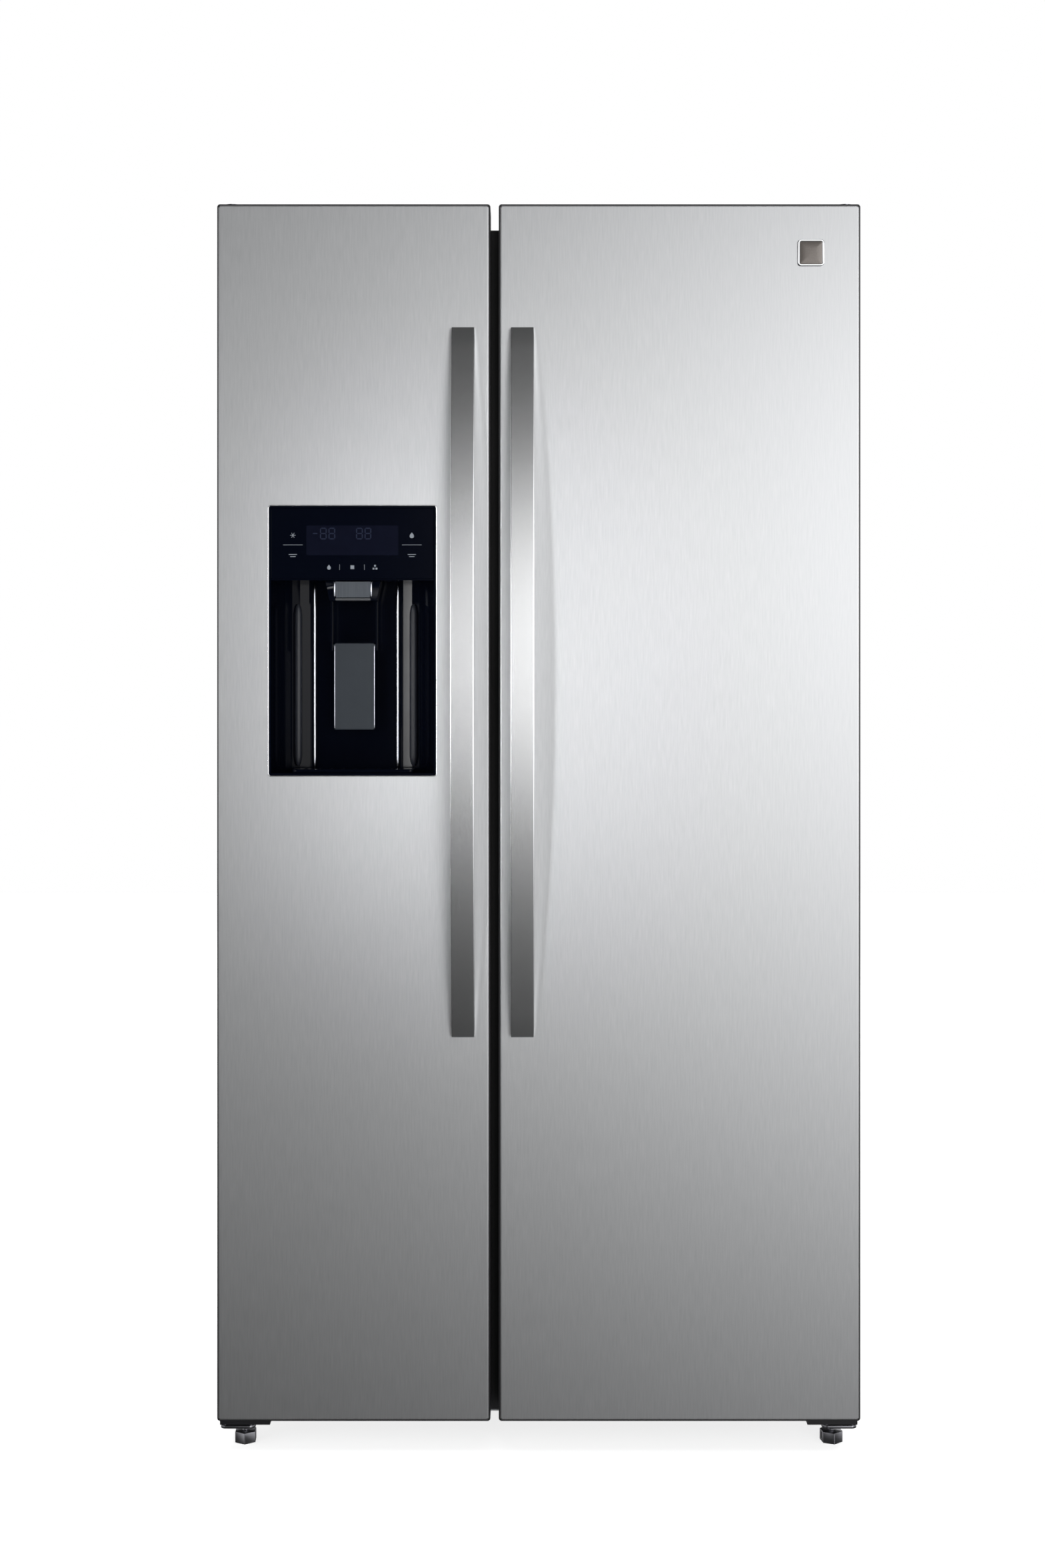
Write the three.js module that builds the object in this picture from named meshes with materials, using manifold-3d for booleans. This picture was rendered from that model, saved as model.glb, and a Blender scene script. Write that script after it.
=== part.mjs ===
// A side by side refrigerator with an ice and water dispenser in the freezer door.
// Millimetres. X runs to the right, Y to the back and Z up from the floor, and the
// origin is on the floor at the middle of the whole footprint.

import * as THREE from 'three';
import { mergeVertices } from 'three/addons/utils/BufferGeometryUtils.js';
import Module from 'manifold-3d';

const wasm = await Module();
wasm.setup();

// ---- Driving dimensions ----

const WIDTH = 910; // across the two closed doors
const HEIGHT = 1772; // floor to the top of the upper hinges
const CASE_DEPTH = 720; // cabinet without its doors
const DOOR_THICK = 60;
const HANDLE_REACH = 60; // how far the handles stand out of the doors
const DOOR_GAP = 10; // between the doors' backs and the cabinet
const LEFT_DOOR_WIDTH = 386.6;
const CENTRE_GAP = 11.8; // between the two doors
const DOOR_BOTTOM = 48;
const CASE_BOTTOM = 38;
const CASE_DROP = 22; // cabinet top below the doors' tops
const CASE_INSET = 2; // cabinet side inside the door's side

const FIT = 0.3; // clearance between pieces that touch
const SHEET = 2; // sheet steel
const LINER = 3; // moulded liners
const WALL = 50; // cabinet's side, outside to inside
const FLOOR = 62; // cabinet's floor and ceiling, outside to inside
const MULLION = 56; // between the two compartments
const MACHINE_DEPTH = 250; // room for the compressor, low at the back
const MACHINE_HEIGHT = 222;
const STEP = 40; // insulation around the machine room

const SKIN = 3; // door's steel face with its folded edge
const SKIN_INSET = 2; // face inside the door's dark edge
const DOOR_EDGE = 2.5; // folded sheet around the door
const DOOR_RADIUS = 4;
const HINGE_IN = 19; // hinge axis from the door's outer side
const HINGE_BACK = 35; // hinge axis ahead of the door's back
const PIN_RADIUS = 5;
const PIN_ROOM = 0.4; // running room around pins
const PIN_DEPTH = 24;
const HINGE_ARM = 2.6;
const HINGE_WIDTH = 24;
const HINGE_PLATE = 4; // lower hinge
const LOWER_HINGE_WIDTH = 49;
const BOSS_WIDTH = 71; // under each door
const BOSS_HEIGHT = 7.6;
const COVER_WIDTH = 62;
const COVER_LENGTH = 96;

const GASKET = 14;
const GASKET_THICK = 6;
const RAIL = 12; // rails on the door liner that hold the bins
const RAIL_HEIGHT = 40;
const RAIL_IN = 50; // rail from the hinge axis
const BIN_REACH = 128; // bins' back from the hinge axis
const SWING_ROOM = 4; // between a swinging bin and the mullion
const BIN_WALL = 2.5;
const BIN_HEIGHT = 96;

const HANDLE_LENGTH = 1000;
const HANDLE_DROP = 176; // below the doors' tops
const HANDLE_WIDTH = 33.3;
const HANDLE_BAR = 11;
const HANDLE_FOOT = 40;
const LEFT_HANDLE_IN = 38.5; // handle's middle from the door's free edge
const RIGHT_HANDLE_IN = 33.4;

const DISPENSER_WIDTH = 236.3;
const DISPENSER_HEIGHT = 380.5;
const DISPENSER_IN = 73.5; // from the door's outer side
const DISPENSER_DROP = 427.3; // below the door's top
const DISPENSER_DEPTH = 73;
const PANEL_HEIGHT = 104.8;
const PANEL_THICK = 9;
const HOUSING_WALL = 3;
const PADDLE_WIDTH = 58;
const PADDLE_HEIGHT = 124;
const PADDLE_THICK = 5;
const PADDLE_DROP = 88; // below the recess's ceiling
const PADDLE_BACK = 38; // behind the door's face
const CHUTE_HEIGHT = 28;
const CHUTE_DEPTH = 34;
const TRAY_THICK = 5;

const BADGE = 37.5;
const BADGE_IN = 51.5; // from the door's outer side
const BADGE_DROP = 50.8;

const SHELF_FRONT = 100; // shelves and drawers behind the cabinet's front
const SHELF_THICK = 5;
const SHELF_TRIM = 14;
const SHELF_SIDE = 1.5;
const LEDGE = 10;
const LEDGE_HEIGHT = 8;
const DRAWER_HEIGHT = 180;
const DRAWER_WALL = 3;
const DRAWER_SIDE = 4;
const DRAWER_HINGED = 16; // drawer from the liner's wall beside the open door
const DRAWER_GRIP = 12;
const DUCT_DEPTH = 70; // room for the evaporator behind its cover
const BUCKET_ZONE = 330; // ice bucket's bottom below the ceiling
const BUCKET_HEIGHT = 150;
const TOP_SHELF_DROP = 235; // below the ceiling in the fridge
const DAIRY_HEIGHT = 120;
const DAIRY_DROP = 70;

const FOOT_RADIUS = 16.8;
const FOOT_HEIGHT = 16;
const FOOT_IN = 33; // foot's axis from the door's outer side
const FOOT_BACK = 32; // behind the hinge axis
const STUD_RADIUS = 4;
const ROLLER_RADIUS = 17;
const ROLLER_WIDTH = 20;
const ROLLER_IN = 75;
const ROLLER_FROM_BACK = 60;
const AXLE_RADIUS = 4;

// ---- Planes that the pieces share ----

const frontY = -(CASE_DEPTH + DOOR_GAP + DOOR_THICK + HANDLE_REACH) / 2;
const faceY = frontY + HANDLE_REACH;
const doorBackY = faceY + DOOR_THICK;
const caseY = doorBackY + DOOR_GAP;
const backY = caseY + CASE_DEPTH;
const hingeY = doorBackY - HINGE_BACK;
const sideX = WIDTH / 2;
const caseX = sideX - CASE_INSET;
const hingeX = sideX - HINGE_IN;
const doorTop = HEIGHT - HINGE_ARM - PIN_ROOM;
const caseTop = doorTop - CASE_DROP;
const gapX = -sideX + LEFT_DOOR_WIDTH + CENTRE_GAP / 2;
const innerCaseX = caseX - SHEET - FIT;

const linerFront = caseY + SHEET + FIT;
const linerBack = backY - FLOOR;
const floorZ = CASE_BOTTOM + FLOOR;
const ceilingZ = caseTop - FLOOR;
const machineY = backY - MACHINE_DEPTH;
const machineZ = CASE_BOTTOM + MACHINE_HEIGHT;
const stepY = machineY - STEP;
const stepZ = machineZ + STEP;
const shelfY = caseY + SHELF_FRONT;
const ductY = linerBack - DUCT_DEPTH;

const freezer = { side: -1, x0: -caseX + WALL, x1: gapX - MULLION / 2 };
const fridge = { side: 1, x0: gapX + MULLION / 2, x1: caseX - WALL };
const lowerDrawerZ = floorZ + DRAWER_SIDE;
const upperDrawerZ = Math.max(stepZ, lowerDrawerZ + DRAWER_HEIGHT + LEDGE_HEIGHT + DRAWER_SIDE) + 1;
const drawersTop = upperDrawerZ + DRAWER_HEIGHT;
const crisperCoverZ = drawersTop + LEDGE_HEIGHT;
const bucketZ = ceilingZ - BUCKET_ZONE;
const topShelfZ = ceilingZ - TOP_SHELF_DROP;
const freezerShelfZ = (bucketZ + drawersTop) / 2;
const fridgeShelves = [topShelfZ, (topShelfZ + crisperCoverZ) / 2, crisperCoverZ];

// ---- Materials ----

const finish = (color, roughness, metalness) => new THREE.MeshStandardMaterial({ color, roughness, metalness });
const brushedSteel = finish(0xb0b2b4, 0.32, 1);
const polishedSteel = finish(0xc4c6c8, 0.2, 1);
const charcoalPaint = finish(0x2b2b2d, 0.5, 0.2);
const zincSteel = finish(0x9a9da0, 0.45, 1);
const whitePlastic = finish(0xeeefee, 0.35, 0);
const clearPlastic = finish(0xcfdde2, 0.12, 0);
const glassSheet = finish(0xb9d0cc, 0.05, 0);
const blackGloss = finish(0x0c0d11, 0.1, 0);
const darkGrey = finish(0x3d4347, 0.4, 0.3);
const slatePlastic = finish(0x41484e, 0.35, 0);
const greyRubber = finish(0x6d6e70, 0.8, 0);
const blackEnamel = finish(0x151617, 0.3, 0.4);
const foam = finish(0xe8dcb8, 0.9, 0);
const aluminium = finish(0xb9bcbf, 0.4, 1);

// ---- Shapes ----

function solidOf(geometry) {
  const bare = geometry.clone();
  bare.deleteAttribute('normal');
  bare.deleteAttribute('uv');
  const merged = mergeVertices(bare, 1e-4);
  return new wasm.Manifold(new wasm.Mesh({
    numProp: 3,
    vertProperties: new Float32Array(merged.attributes.position.array),
    triVerts: new Uint32Array(merged.index.array),
  }));
}

function geometryOf(solid) {
  const mesh = solid.getMesh();
  const geometry = new THREE.BufferGeometry();
  geometry.setAttribute('position', new THREE.BufferAttribute(mesh.vertProperties, 3));
  geometry.setIndex(new THREE.BufferAttribute(mesh.triVerts, 1));
  geometry.computeVertexNormals();
  return geometry;
}

function cut(body, ...tools) {
  return geometryOf(tools.reduce((rest, tool) => rest.subtract(solidOf(tool)), solidOf(body)));
}

function join(body, ...others) {
  return geometryOf(others.reduce((sum, other) => sum.add(solidOf(other)), solidOf(body)));
}

function block(x0, x1, y0, y1, z0, z1) {
  const geometry = new THREE.BoxGeometry(x1 - x0, y1 - y0, z1 - z0);
  return geometry.translate((x0 + x1) / 2, (y0 + y1) / 2, (z0 + z1) / 2);
}

function polygon(points) {
  return new THREE.Shape(points.map(([u, v]) => new THREE.Vector2(u, v)));
}

function roundedRectangle(u0, v0, u1, v1, radius) {
  const shape = new THREE.Shape();
  shape.absarc(u1 - radius, v0 + radius, radius, -Math.PI / 2, 0);
  shape.absarc(u1 - radius, v1 - radius, radius, 0, Math.PI / 2);
  shape.absarc(u0 + radius, v1 - radius, radius, Math.PI / 2, Math.PI);
  shape.absarc(u0 + radius, v0 + radius, radius, Math.PI, Math.PI * 1.5);
  shape.closePath();
  return shape;
}

// An outline drawn in X and Z, swept from y0 to y1. A bevel rounds its two edges.
function sweepY(shape, y0, y1, bevel = 0) {
  const geometry = new THREE.ExtrudeGeometry(shape, {
    depth: y1 - y0 - 2 * bevel,
    curveSegments: 3,
    bevelEnabled: bevel > 0,
    bevelThickness: bevel,
    bevelSize: bevel,
    bevelOffset: -bevel,
    bevelSegments: 2,
  });
  return geometry.rotateX(Math.PI / 2).translate(0, y1 - bevel, 0);
}

// An outline drawn in Y and Z, swept from x0 to x1.
function sweepX(shape, x0, x1, bevel = 0) {
  const geometry = new THREE.ExtrudeGeometry(shape, {
    depth: x1 - x0 - 2 * bevel,
    curveSegments: 3,
    bevelEnabled: bevel > 0,
    bevelThickness: bevel,
    bevelSize: bevel,
    bevelOffset: -bevel,
    bevelSegments: 2,
  });
  const turn = new THREE.Matrix4().makeBasis(
    new THREE.Vector3(0, 1, 0), new THREE.Vector3(0, 0, 1), new THREE.Vector3(1, 0, 0));
  return geometry.translate(0, 0, bevel).applyMatrix4(turn).translate(x0, 0, 0);
}

// An outline drawn in X and Y, swept from z0 to z1.
function sweepZ(shape, z0, z1) {
  const geometry = new THREE.ExtrudeGeometry(shape, { depth: z1 - z0, curveSegments: 6, bevelEnabled: false });
  return geometry.translate(0, 0, z0);
}

function rodX(radius, x0, x1, y, z, sides = 16) {
  const rod = new THREE.CylinderGeometry(radius, radius, x1 - x0, sides);
  return rod.rotateZ(-Math.PI / 2).translate((x0 + x1) / 2, y, z);
}

function rodY(radius, x, y0, y1, z, sides = 24) {
  const rod = new THREE.CylinderGeometry(radius, radius, y1 - y0, sides);
  return rod.translate(0, (y0 + y1) / 2, 0).translate(x, 0, z);
}

function rodZ(radius, x, y, z0, z1, sides = 16) {
  const rod = new THREE.CylinderGeometry(radius, radius, z1 - z0, sides);
  return rod.rotateX(Math.PI / 2).translate(x, y, (z0 + z1) / 2);
}

function openBox(x0, x1, y0, y1, z0, z1, wall) {
  const room = block(x0 + wall, x1 - wall, y0 + wall, y1 - wall, z0 + wall, z1 + wall);
  return cut(block(x0, x1, y0, y1, z0, z1), room);
}

const fridgeGroup = new THREE.Group();

function add(name, geometry, material, group = fridgeGroup) {
  const mesh = new THREE.Mesh(geometry, material);
  mesh.name = name;
  group.add(mesh);
  return mesh;
}

// ---- Cabinet ----

function cabinetShell() {
  const outline = polygon([
    [-caseX, CASE_BOTTOM], [-caseX + SHEET, CASE_BOTTOM],
    [-caseX + SHEET, caseTop - SHEET], [caseX - SHEET, caseTop - SHEET],
    [caseX - SHEET, CASE_BOTTOM], [caseX, CASE_BOTTOM],
    [caseX, caseTop], [-caseX, caseTop],
  ]);
  return sweepY(outline, caseY, backY - SHEET - FIT);
}

function faceFrame() {
  const outline = roundedRectangle(
    -innerCaseX, CASE_BOTTOM + SHEET + FIT, innerCaseX, caseTop - SHEET - FIT, 1);
  for (const room of [freezer, fridge]) {
    outline.holes.push(roundedRectangle(room.x0, floorZ, room.x1, ceilingZ, 1));
  }
  return sweepY(outline, caseY, caseY + SHEET);
}

// Side view of a compartment's inside, grown outwards by `grow`.
function roomOutline(grow, front) {
  return polygon([
    [front, floorZ - grow], [stepY + grow, floorZ - grow],
    [stepY + grow, stepZ - grow], [linerBack + grow, stepZ - grow],
    [linerBack + grow, ceilingZ + grow], [front, ceilingZ + grow],
  ]);
}

function ledges(room, z, y1, hinged = LEDGE) {
  const left = room.side < 0 ? hinged : LEDGE;
  const right = room.side > 0 ? hinged : LEDGE;
  const bars = [[room.x0 - 1, room.x0 + left], [room.x1 - right, room.x1 + 1]];
  return bars.map(([x0, x1]) => block(x0, x1, shelfY + LEDGE, y1, z - FIT - LEDGE_HEIGHT, z - FIT));
}

function liner(room, shelves) {
  const outside = sweepX(roomOutline(LINER, linerFront), room.x0 - LINER, room.x1 + LINER);
  const inside = sweepX(roomOutline(0, linerFront - LINER), room.x0, room.x1);
  const bars = shelves.flatMap((z) => ledges(room, z, ductY - LEDGE));
  const drawerLedges = ledges(room, upperDrawerZ, stepY - LEDGE, LEDGE + DRAWER_HINGED - DRAWER_SIDE);
  return join(cut(outside, inside), ...bars, ...drawerLedges);
}

function insulation() {
  const whole = block(-innerCaseX, innerCaseX, linerFront, backY - SHEET - FIT,
    CASE_BOTTOM + SHEET + FIT, caseTop - SHEET - FIT);
  const rooms = [freezer, fridge].map((room) => sweepX(
    roomOutline(LINER + FIT, linerFront - LINER), room.x0 - LINER - FIT, room.x1 + LINER + FIT));
  const machineRoom = block(-caseX, caseX, machineY, backY, 0, machineZ);
  return cut(whole, ...rooms, machineRoom);
}

function basePan() {
  const top = CASE_BOTTOM + SHEET;
  const pieces = [];
  for (const side of [-1, 1]) {
    const x = side * (caseX - ROLLER_IN);
    const y = backY - ROLLER_FROM_BACK;
    const reach = ROLLER_WIDTH / 2 + 1;
    for (const cheek of [x - reach - SHEET, x + reach]) {
      pieces.push(block(cheek, cheek + SHEET, y - 16, y + 16, ROLLER_RADIUS - 9, top - 0.5));
    }
    pieces.push(rodX(AXLE_RADIUS, x - reach - 1, x + reach + 1, y, ROLLER_RADIUS, 12));
  }
  return join(block(-innerCaseX, innerCaseX, caseY, backY - SHEET - FIT, CASE_BOTTOM, top), ...pieces);
}

function rearPanel() {
  return block(-caseX, caseX, backY - SHEET, backY, machineZ + FIT, caseTop);
}

function machineCover() {
  const slots = [];
  const pitch = 2 * innerCaseX / 9;
  for (let row = 0; row < 3; row += 1) {
    for (let i = 0; i < 9; i += 1) {
      const x = -innerCaseX + (i + 0.5) * pitch;
      const z = CASE_BOTTOM + 50 + row * 40;
      slots.push(block(x - 30, x + 30, backY - 2 * SHEET, backY + SHEET, z, z + 10));
    }
  }
  return cut(block(-caseX, caseX, backY - SHEET, backY, CASE_BOTTOM, machineZ), ...slots);
}

function roller() {
  const wheel = rodX(ROLLER_RADIUS, -ROLLER_WIDTH / 2, ROLLER_WIDTH / 2, 0, 0, 24);
  return cut(wheel, rodX(AXLE_RADIUS + PIN_ROOM, -ROLLER_WIDTH, ROLLER_WIDTH, 0, 0, 16));
}

// Upper hinge: a base on the cabinet, a riser, an arm over the door and a pin.
function topHinge(side) {
  const x = side * hingeX;
  const bend = caseY + 7;
  const outline = polygon([
    [hingeY, doorTop + PIN_ROOM], [bend, doorTop + PIN_ROOM], [bend, caseTop + FIT],
    [bend + COVER_LENGTH * 0.8, caseTop + FIT], [bend + COVER_LENGTH * 0.8, caseTop + FIT + HINGE_ARM],
    [bend + HINGE_ARM, caseTop + FIT + HINGE_ARM], [bend + HINGE_ARM, HEIGHT], [hingeY, HEIGHT],
  ]);
  const arm = sweepX(outline, x - HINGE_WIDTH / 2, x + HINGE_WIDTH / 2);
  const knuckle = rodZ(HINGE_WIDTH / 2, x, hingeY, doorTop + PIN_ROOM, HEIGHT, 20);
  const pin = rodZ(PIN_RADIUS, x, hingeY, doorTop - PIN_DEPTH + 1, HEIGHT - 1);
  return join(arm, knuckle, pin);
}

function hingeCover(side) {
  const x = side * (caseX - COVER_WIDTH / 2 - 2);
  const y0 = caseY + 7 + HINGE_ARM + FIT;
  const y1 = y0 + COVER_LENGTH;
  const z0 = caseTop + FIT;
  const outside = roundedRectangle(x - COVER_WIDTH / 2, y0, x + COVER_WIDTH / 2, y1, 6);
  const hollow = block(x - COVER_WIDTH / 2 + 2, x + COVER_WIDTH / 2 - 2, y0 + 2, y1 - 2, z0 - 1, HEIGHT - 3);
  const slot = block(side * hingeX - HINGE_WIDTH / 2 - 1, side * hingeX + HINGE_WIDTH / 2 + 1,
    y0 - 1, y0 + 3, z0 - 1, z0 + HINGE_ARM + 1);
  return cut(sweepZ(outside, z0, HEIGHT - 1), hollow, slot);
}

// Lower hinge: a plate under the cabinet that reaches forward under the door, with its pin.
function lowerHinge(side) {
  const edge = side * (caseX - 1);
  const far = side * (caseX - 1 - LOWER_HINGE_WIDTH);
  const z1 = CASE_BOTTOM - FIT;
  const outline = roundedRectangle(
    Math.min(edge, far), hingeY - 13, Math.max(edge, far), caseY + 110, 8);
  const plate = sweepZ(outline, z1 - HINGE_PLATE, z1);
  const pin = rodZ(PIN_RADIUS, side * hingeX, hingeY, z1 - 1, DOOR_BOTTOM + PIN_DEPTH - 4);
  const studHole = rodZ(STUD_RADIUS + PIN_ROOM, side * (sideX - FOOT_IN), hingeY + FOOT_BACK, 0, z1 + 5);
  return cut(join(plate, pin), studHole);
}

function levellingFoot() {
  const hex = rodZ(FOOT_RADIUS, 0, 0, 0, FOOT_HEIGHT, 6);
  const slot = block(-FOOT_RADIUS, -FOOT_RADIUS + 6, -1, 1, 4, FOOT_HEIGHT - 4);
  const stud = rodZ(STUD_RADIUS, 0, 0, FOOT_HEIGHT - 1, CASE_BOTTOM - 2);
  return cut(join(hex, stud), slot);
}

add('cabinet_shell', cabinetShell(), charcoalPaint);
add('face_frame', faceFrame(), charcoalPaint);
add('rear_panel', rearPanel(), zincSteel);
add('machine_cover', machineCover(), darkGrey);
add('base_pan', basePan(), zincSteel);
add('cabinet_insulation', insulation(), foam);
add('freezer_liner', liner(freezer, [bucketZ, freezerShelfZ]), whitePlastic);
add('fridge_liner', liner(fridge, fridgeShelves), whitePlastic);

for (const [word, side] of [['left', -1], ['right', 1]]) {
  add(`top_hinge_${word}`, topHinge(side), zincSteel);
  add(`hinge_cover_${word}`, hingeCover(side), darkGrey);
  add(`lower_hinge_${word}`, lowerHinge(side), zincSteel);
  const foot = add(`levelling_foot_${word}`, levellingFoot(), zincSteel);
  foot.position.set(side * (sideX - FOOT_IN), hingeY + FOOT_BACK, 0);
  foot.rotation.z = side < 0 ? THREE.MathUtils.degToRad(3) : THREE.MathUtils.degToRad(9);
  const wheel = add(`rear_roller_${word}`, roller(), darkGrey);
  wheel.position.set(side * (caseX - ROLLER_IN), backY - ROLLER_FROM_BACK, ROLLER_RADIUS);
}

// ---- Machine room ----

const COMPRESSOR_RADIUS = 82;
const FAN_RADIUS = 70;
const FAN_HUB = 16;

function compressor() {
  const z = CASE_BOTTOM + SHEET + FIT;
  const profile = [[0, 12], [COMPRESSOR_RADIUS - 8, 12], [COMPRESSOR_RADIUS, 30], [COMPRESSOR_RADIUS, 96],
    [COMPRESSOR_RADIUS + 4, 98], [COMPRESSOR_RADIUS + 4, 102], [COMPRESSOR_RADIUS, 104],
    [COMPRESSOR_RADIUS - 8, 146], [COMPRESSOR_RADIUS - 34, 168], [0, 174]];
  const points = profile.map(([r, h]) => new THREE.Vector2(r, h));
  const dome = new THREE.LatheGeometry(points, 20).rotateX(Math.PI / 2);
  const base = block(-COMPRESSOR_RADIUS - 20, COMPRESSOR_RADIUS + 20, -70, 70, 8, 14);
  const feet = [-1, 1].flatMap((u) => [-1, 1].map((v) => rodZ(11, u * 88, v * 54, 0, 9)));
  return join(dome, base, ...feet).translate(caseX - 170, (machineY + backY) / 2, z);
}

// Fins on a header, as one comb.
function finPack(x0, x1, yRoot, yTip, z0, z1, fins) {
  const pitch = (x1 - x0) / fins;
  const thick = 3;
  const header = block(x0, x1 - pitch + thick, Math.min(yRoot, yRoot + 6), Math.max(yRoot, yRoot + 6), z0, z1);
  const plates = [];
  for (let i = 0; i < fins; i += 1) {
    const x = x0 + i * pitch;
    plates.push(block(x, x + thick, Math.min(yTip, yRoot + 1), Math.max(yTip, yRoot + 1), z0, z1));
  }
  return join(header, ...plates);
}

function fan(radius, blades, width, lean) {
  const hub = rodY(FAN_HUB, 0, -width / 2, width / 2, 0);
  const wings = [];
  for (let i = 0; i < blades; i += 1) {
    const wing = block(FAN_HUB - 5, radius, -1, 1, -radius * 0.24, radius * 0.24);
    wing.rotateX(lean).rotateY(i * 2 * Math.PI / blades);
    wings.push(wing);
  }
  return join(hub, ...wings);
}

function condenser() {
  return finPack(-caseX + 60, -caseX + 300, machineY + 40, machineY + 190,
    CASE_BOTTOM + SHEET + FIT, CASE_BOTTOM + 140, 16);
}

add('compressor', compressor(), blackEnamel);
add('condenser', condenser(), blackEnamel);
const condenserFan = add('condenser_fan', fan(FAN_RADIUS, 5, 24, 0.5), slatePlastic);
condenserFan.position.set(gapX + 60, (machineY + backY) / 2, CASE_BOTTOM + 110);

// ---- Freezer compartment ----

const EVAPORATOR_HEIGHT = 300;
const EVAP_FAN_RADIUS = 56;
const COVER_PLATE = 3;
const SPIDER = 6;
const freezerMidX = (freezer.x0 + freezer.x1) / 2;
const evapFanZ = stepZ + EVAPORATOR_HEIGHT + 130;

function evaporatorCover() {
  const x0 = freezer.x0 + 2;
  const x1 = freezer.x1 - 2;
  const outline = roundedRectangle(x0, stepZ + 6, x1, bucketZ - 20, 3);
  const hole = new THREE.Path();
  hole.absarc(freezerMidX, evapFanZ, EVAP_FAN_RADIUS + 6, 0, 2 * Math.PI, true);
  outline.holes.push(hole);
  const slots = [0, 1, 2, 3].map((i) => stepZ + 40 + i * 22).map((z) => block(
    x0 + 30, x1 - 30, ductY - 1, ductY + COVER_PLATE + 1, z, z + 8));
  const plate = cut(sweepY(outline, ductY, ductY + COVER_PLATE), ...slots);
  const reach = EVAP_FAN_RADIUS + 14;
  const bar = block(freezerMidX - reach, freezerMidX + reach, ductY + 26, ductY + 26 + SPIDER,
    evapFanZ - SPIDER, evapFanZ + SPIDER);
  const legs = [-1, 1].map((u) => freezerMidX + u * reach).map((x) => block(
    x - SPIDER / 2, x + SPIDER / 2, ductY + 1, ductY + 28, evapFanZ - SPIDER, evapFanZ + SPIDER));
  const motor = rodY(18, freezerMidX, ductY + 22, ductY + 48, evapFanZ);
  return join(plate, bar, ...legs, motor);
}

function evaporator() {
  const y1 = linerBack - 8;
  return finPack(freezer.x0 + 14, freezer.x1 - 2, y1 - 6, ductY + COVER_PLATE + 4,
    stepZ + 20, stepZ + 20 + EVAPORATOR_HEIGHT, 13);
}

// Mould tray with a rounded bottom, hung from the ceiling, and its motor box.
function iceMaker() {
  const z1 = ceilingZ - 8;
  const x0 = freezer.x0 + 40;
  const x1 = freezer.x1 - 30;
  const y = ductY - 90;
  const outline = new THREE.Shape();
  outline.moveTo(y - 48, z1);
  outline.lineTo(y - 48, z1 - 50);
  outline.absarc(y, z1 - 50, 48, Math.PI, 0, false);
  outline.lineTo(y + 48, z1);
  outline.closePath();
  const mould = sweepX(outline, x0, x1);
  return join(mould, block(x0 - 30, x0 + 1, y - 58, y + 58, z1 - 108, z1));
}

const AUGER_RADIUS = 27;
const AUGER_WIRE = 3.5;
const AUGER_TURNS = 5;
const bucketY0 = shelfY + 6;
const bucketY1 = ductY - 16;
const augerZ = bucketZ + DRAWER_WALL + AUGER_RADIUS + AUGER_WIRE + 4;

function iceBucket() {
  const x0 = freezer.x0 + DRAWER_SIDE;
  const x1 = freezer.x1 - DRAWER_SIDE;
  return openBox(x0, x1, bucketY0, bucketY1, bucketZ, bucketZ + BUCKET_HEIGHT, DRAWER_WALL);
}

class AugerPath extends THREE.Curve {
  constructor(length) {
    super();
    this.length = length;
  }

  getPoint(t, target = new THREE.Vector3()) {
    const ends = Math.min(1, t * 12, (1 - t) * 12);
    const angle = t * AUGER_TURNS * 2 * Math.PI;
    const radius = AUGER_RADIUS * ends;
    return target.set(radius * Math.cos(angle), t * this.length, radius * Math.sin(angle));
  }
}

function iceAuger() {
  const length = bucketY1 - bucketY0 - 2 * DRAWER_WALL - 24;
  const section = new THREE.Shape();
  section.absarc(0, 0, AUGER_WIRE, 0, 2 * Math.PI, false);
  return new THREE.ExtrudeGeometry(section, {
    curveSegments: 3, steps: 56, bevelEnabled: false, extrudePath: new AugerPath(length),
  });
}

// A glass sheet with a moulded trim along its front and back edges.
function shelf(room, z, y1) {
  const outline = polygon([
    [shelfY, z - SHELF_TRIM / 2], [shelfY + 8, z - SHELF_TRIM / 2], [shelfY + 8, z], [y1, z],
    [y1, z + SHELF_THICK], [shelfY + 10, z + SHELF_THICK], [shelfY + 8, z + SHELF_THICK + 2],
    [shelfY, z + SHELF_THICK + 2],
  ]);
  return sweepX(outline, room.x0 + SHELF_SIDE, room.x1 - SHELF_SIDE);
}

function drawer(room, z, y1) {
  const x0 = room.x0 + (room.side < 0 ? DRAWER_HINGED : DRAWER_SIDE);
  const x1 = room.x1 - (room.side > 0 ? DRAWER_HINGED : DRAWER_SIDE);
  const y0 = shelfY + DRAWER_GRIP;
  const z1 = z + DRAWER_HEIGHT - DRAWER_SIDE;
  const tub = openBox(x0, x1, y0, y1, z, z1, DRAWER_WALL);
  const grip = block(x0 + 20, x1 - 20, shelfY, y0 + 1, z1 - 26, z1 - 18);
  return join(tub, grip);
}

add('evaporator_cover', evaporatorCover(), whitePlastic);
add('evaporator', evaporator(), aluminium);
const evaporatorFan = add('evaporator_fan', fan(EVAP_FAN_RADIUS, 5, 18, 0.5), slatePlastic);
evaporatorFan.position.set(freezerMidX, ductY + 11, evapFanZ);
add('ice_maker', iceMaker(), whitePlastic);
add('ice_bucket', iceBucket(), clearPlastic);
const auger = add('ice_auger', iceAuger(), aluminium);
auger.position.set(freezerMidX, bucketY0 + DRAWER_WALL + 12, augerZ);

const lowerDrawerBack = stepY - 10;
add('freezer_shelf', shelf(freezer, freezerShelfZ, ductY - 4), glassSheet);
add('freezer_drawer_1', drawer(freezer, upperDrawerZ, ductY - 10), clearPlastic);
add('freezer_drawer_2', drawer(freezer, lowerDrawerZ, lowerDrawerBack), clearPlastic);

// ---- Fridge compartment ----

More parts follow.
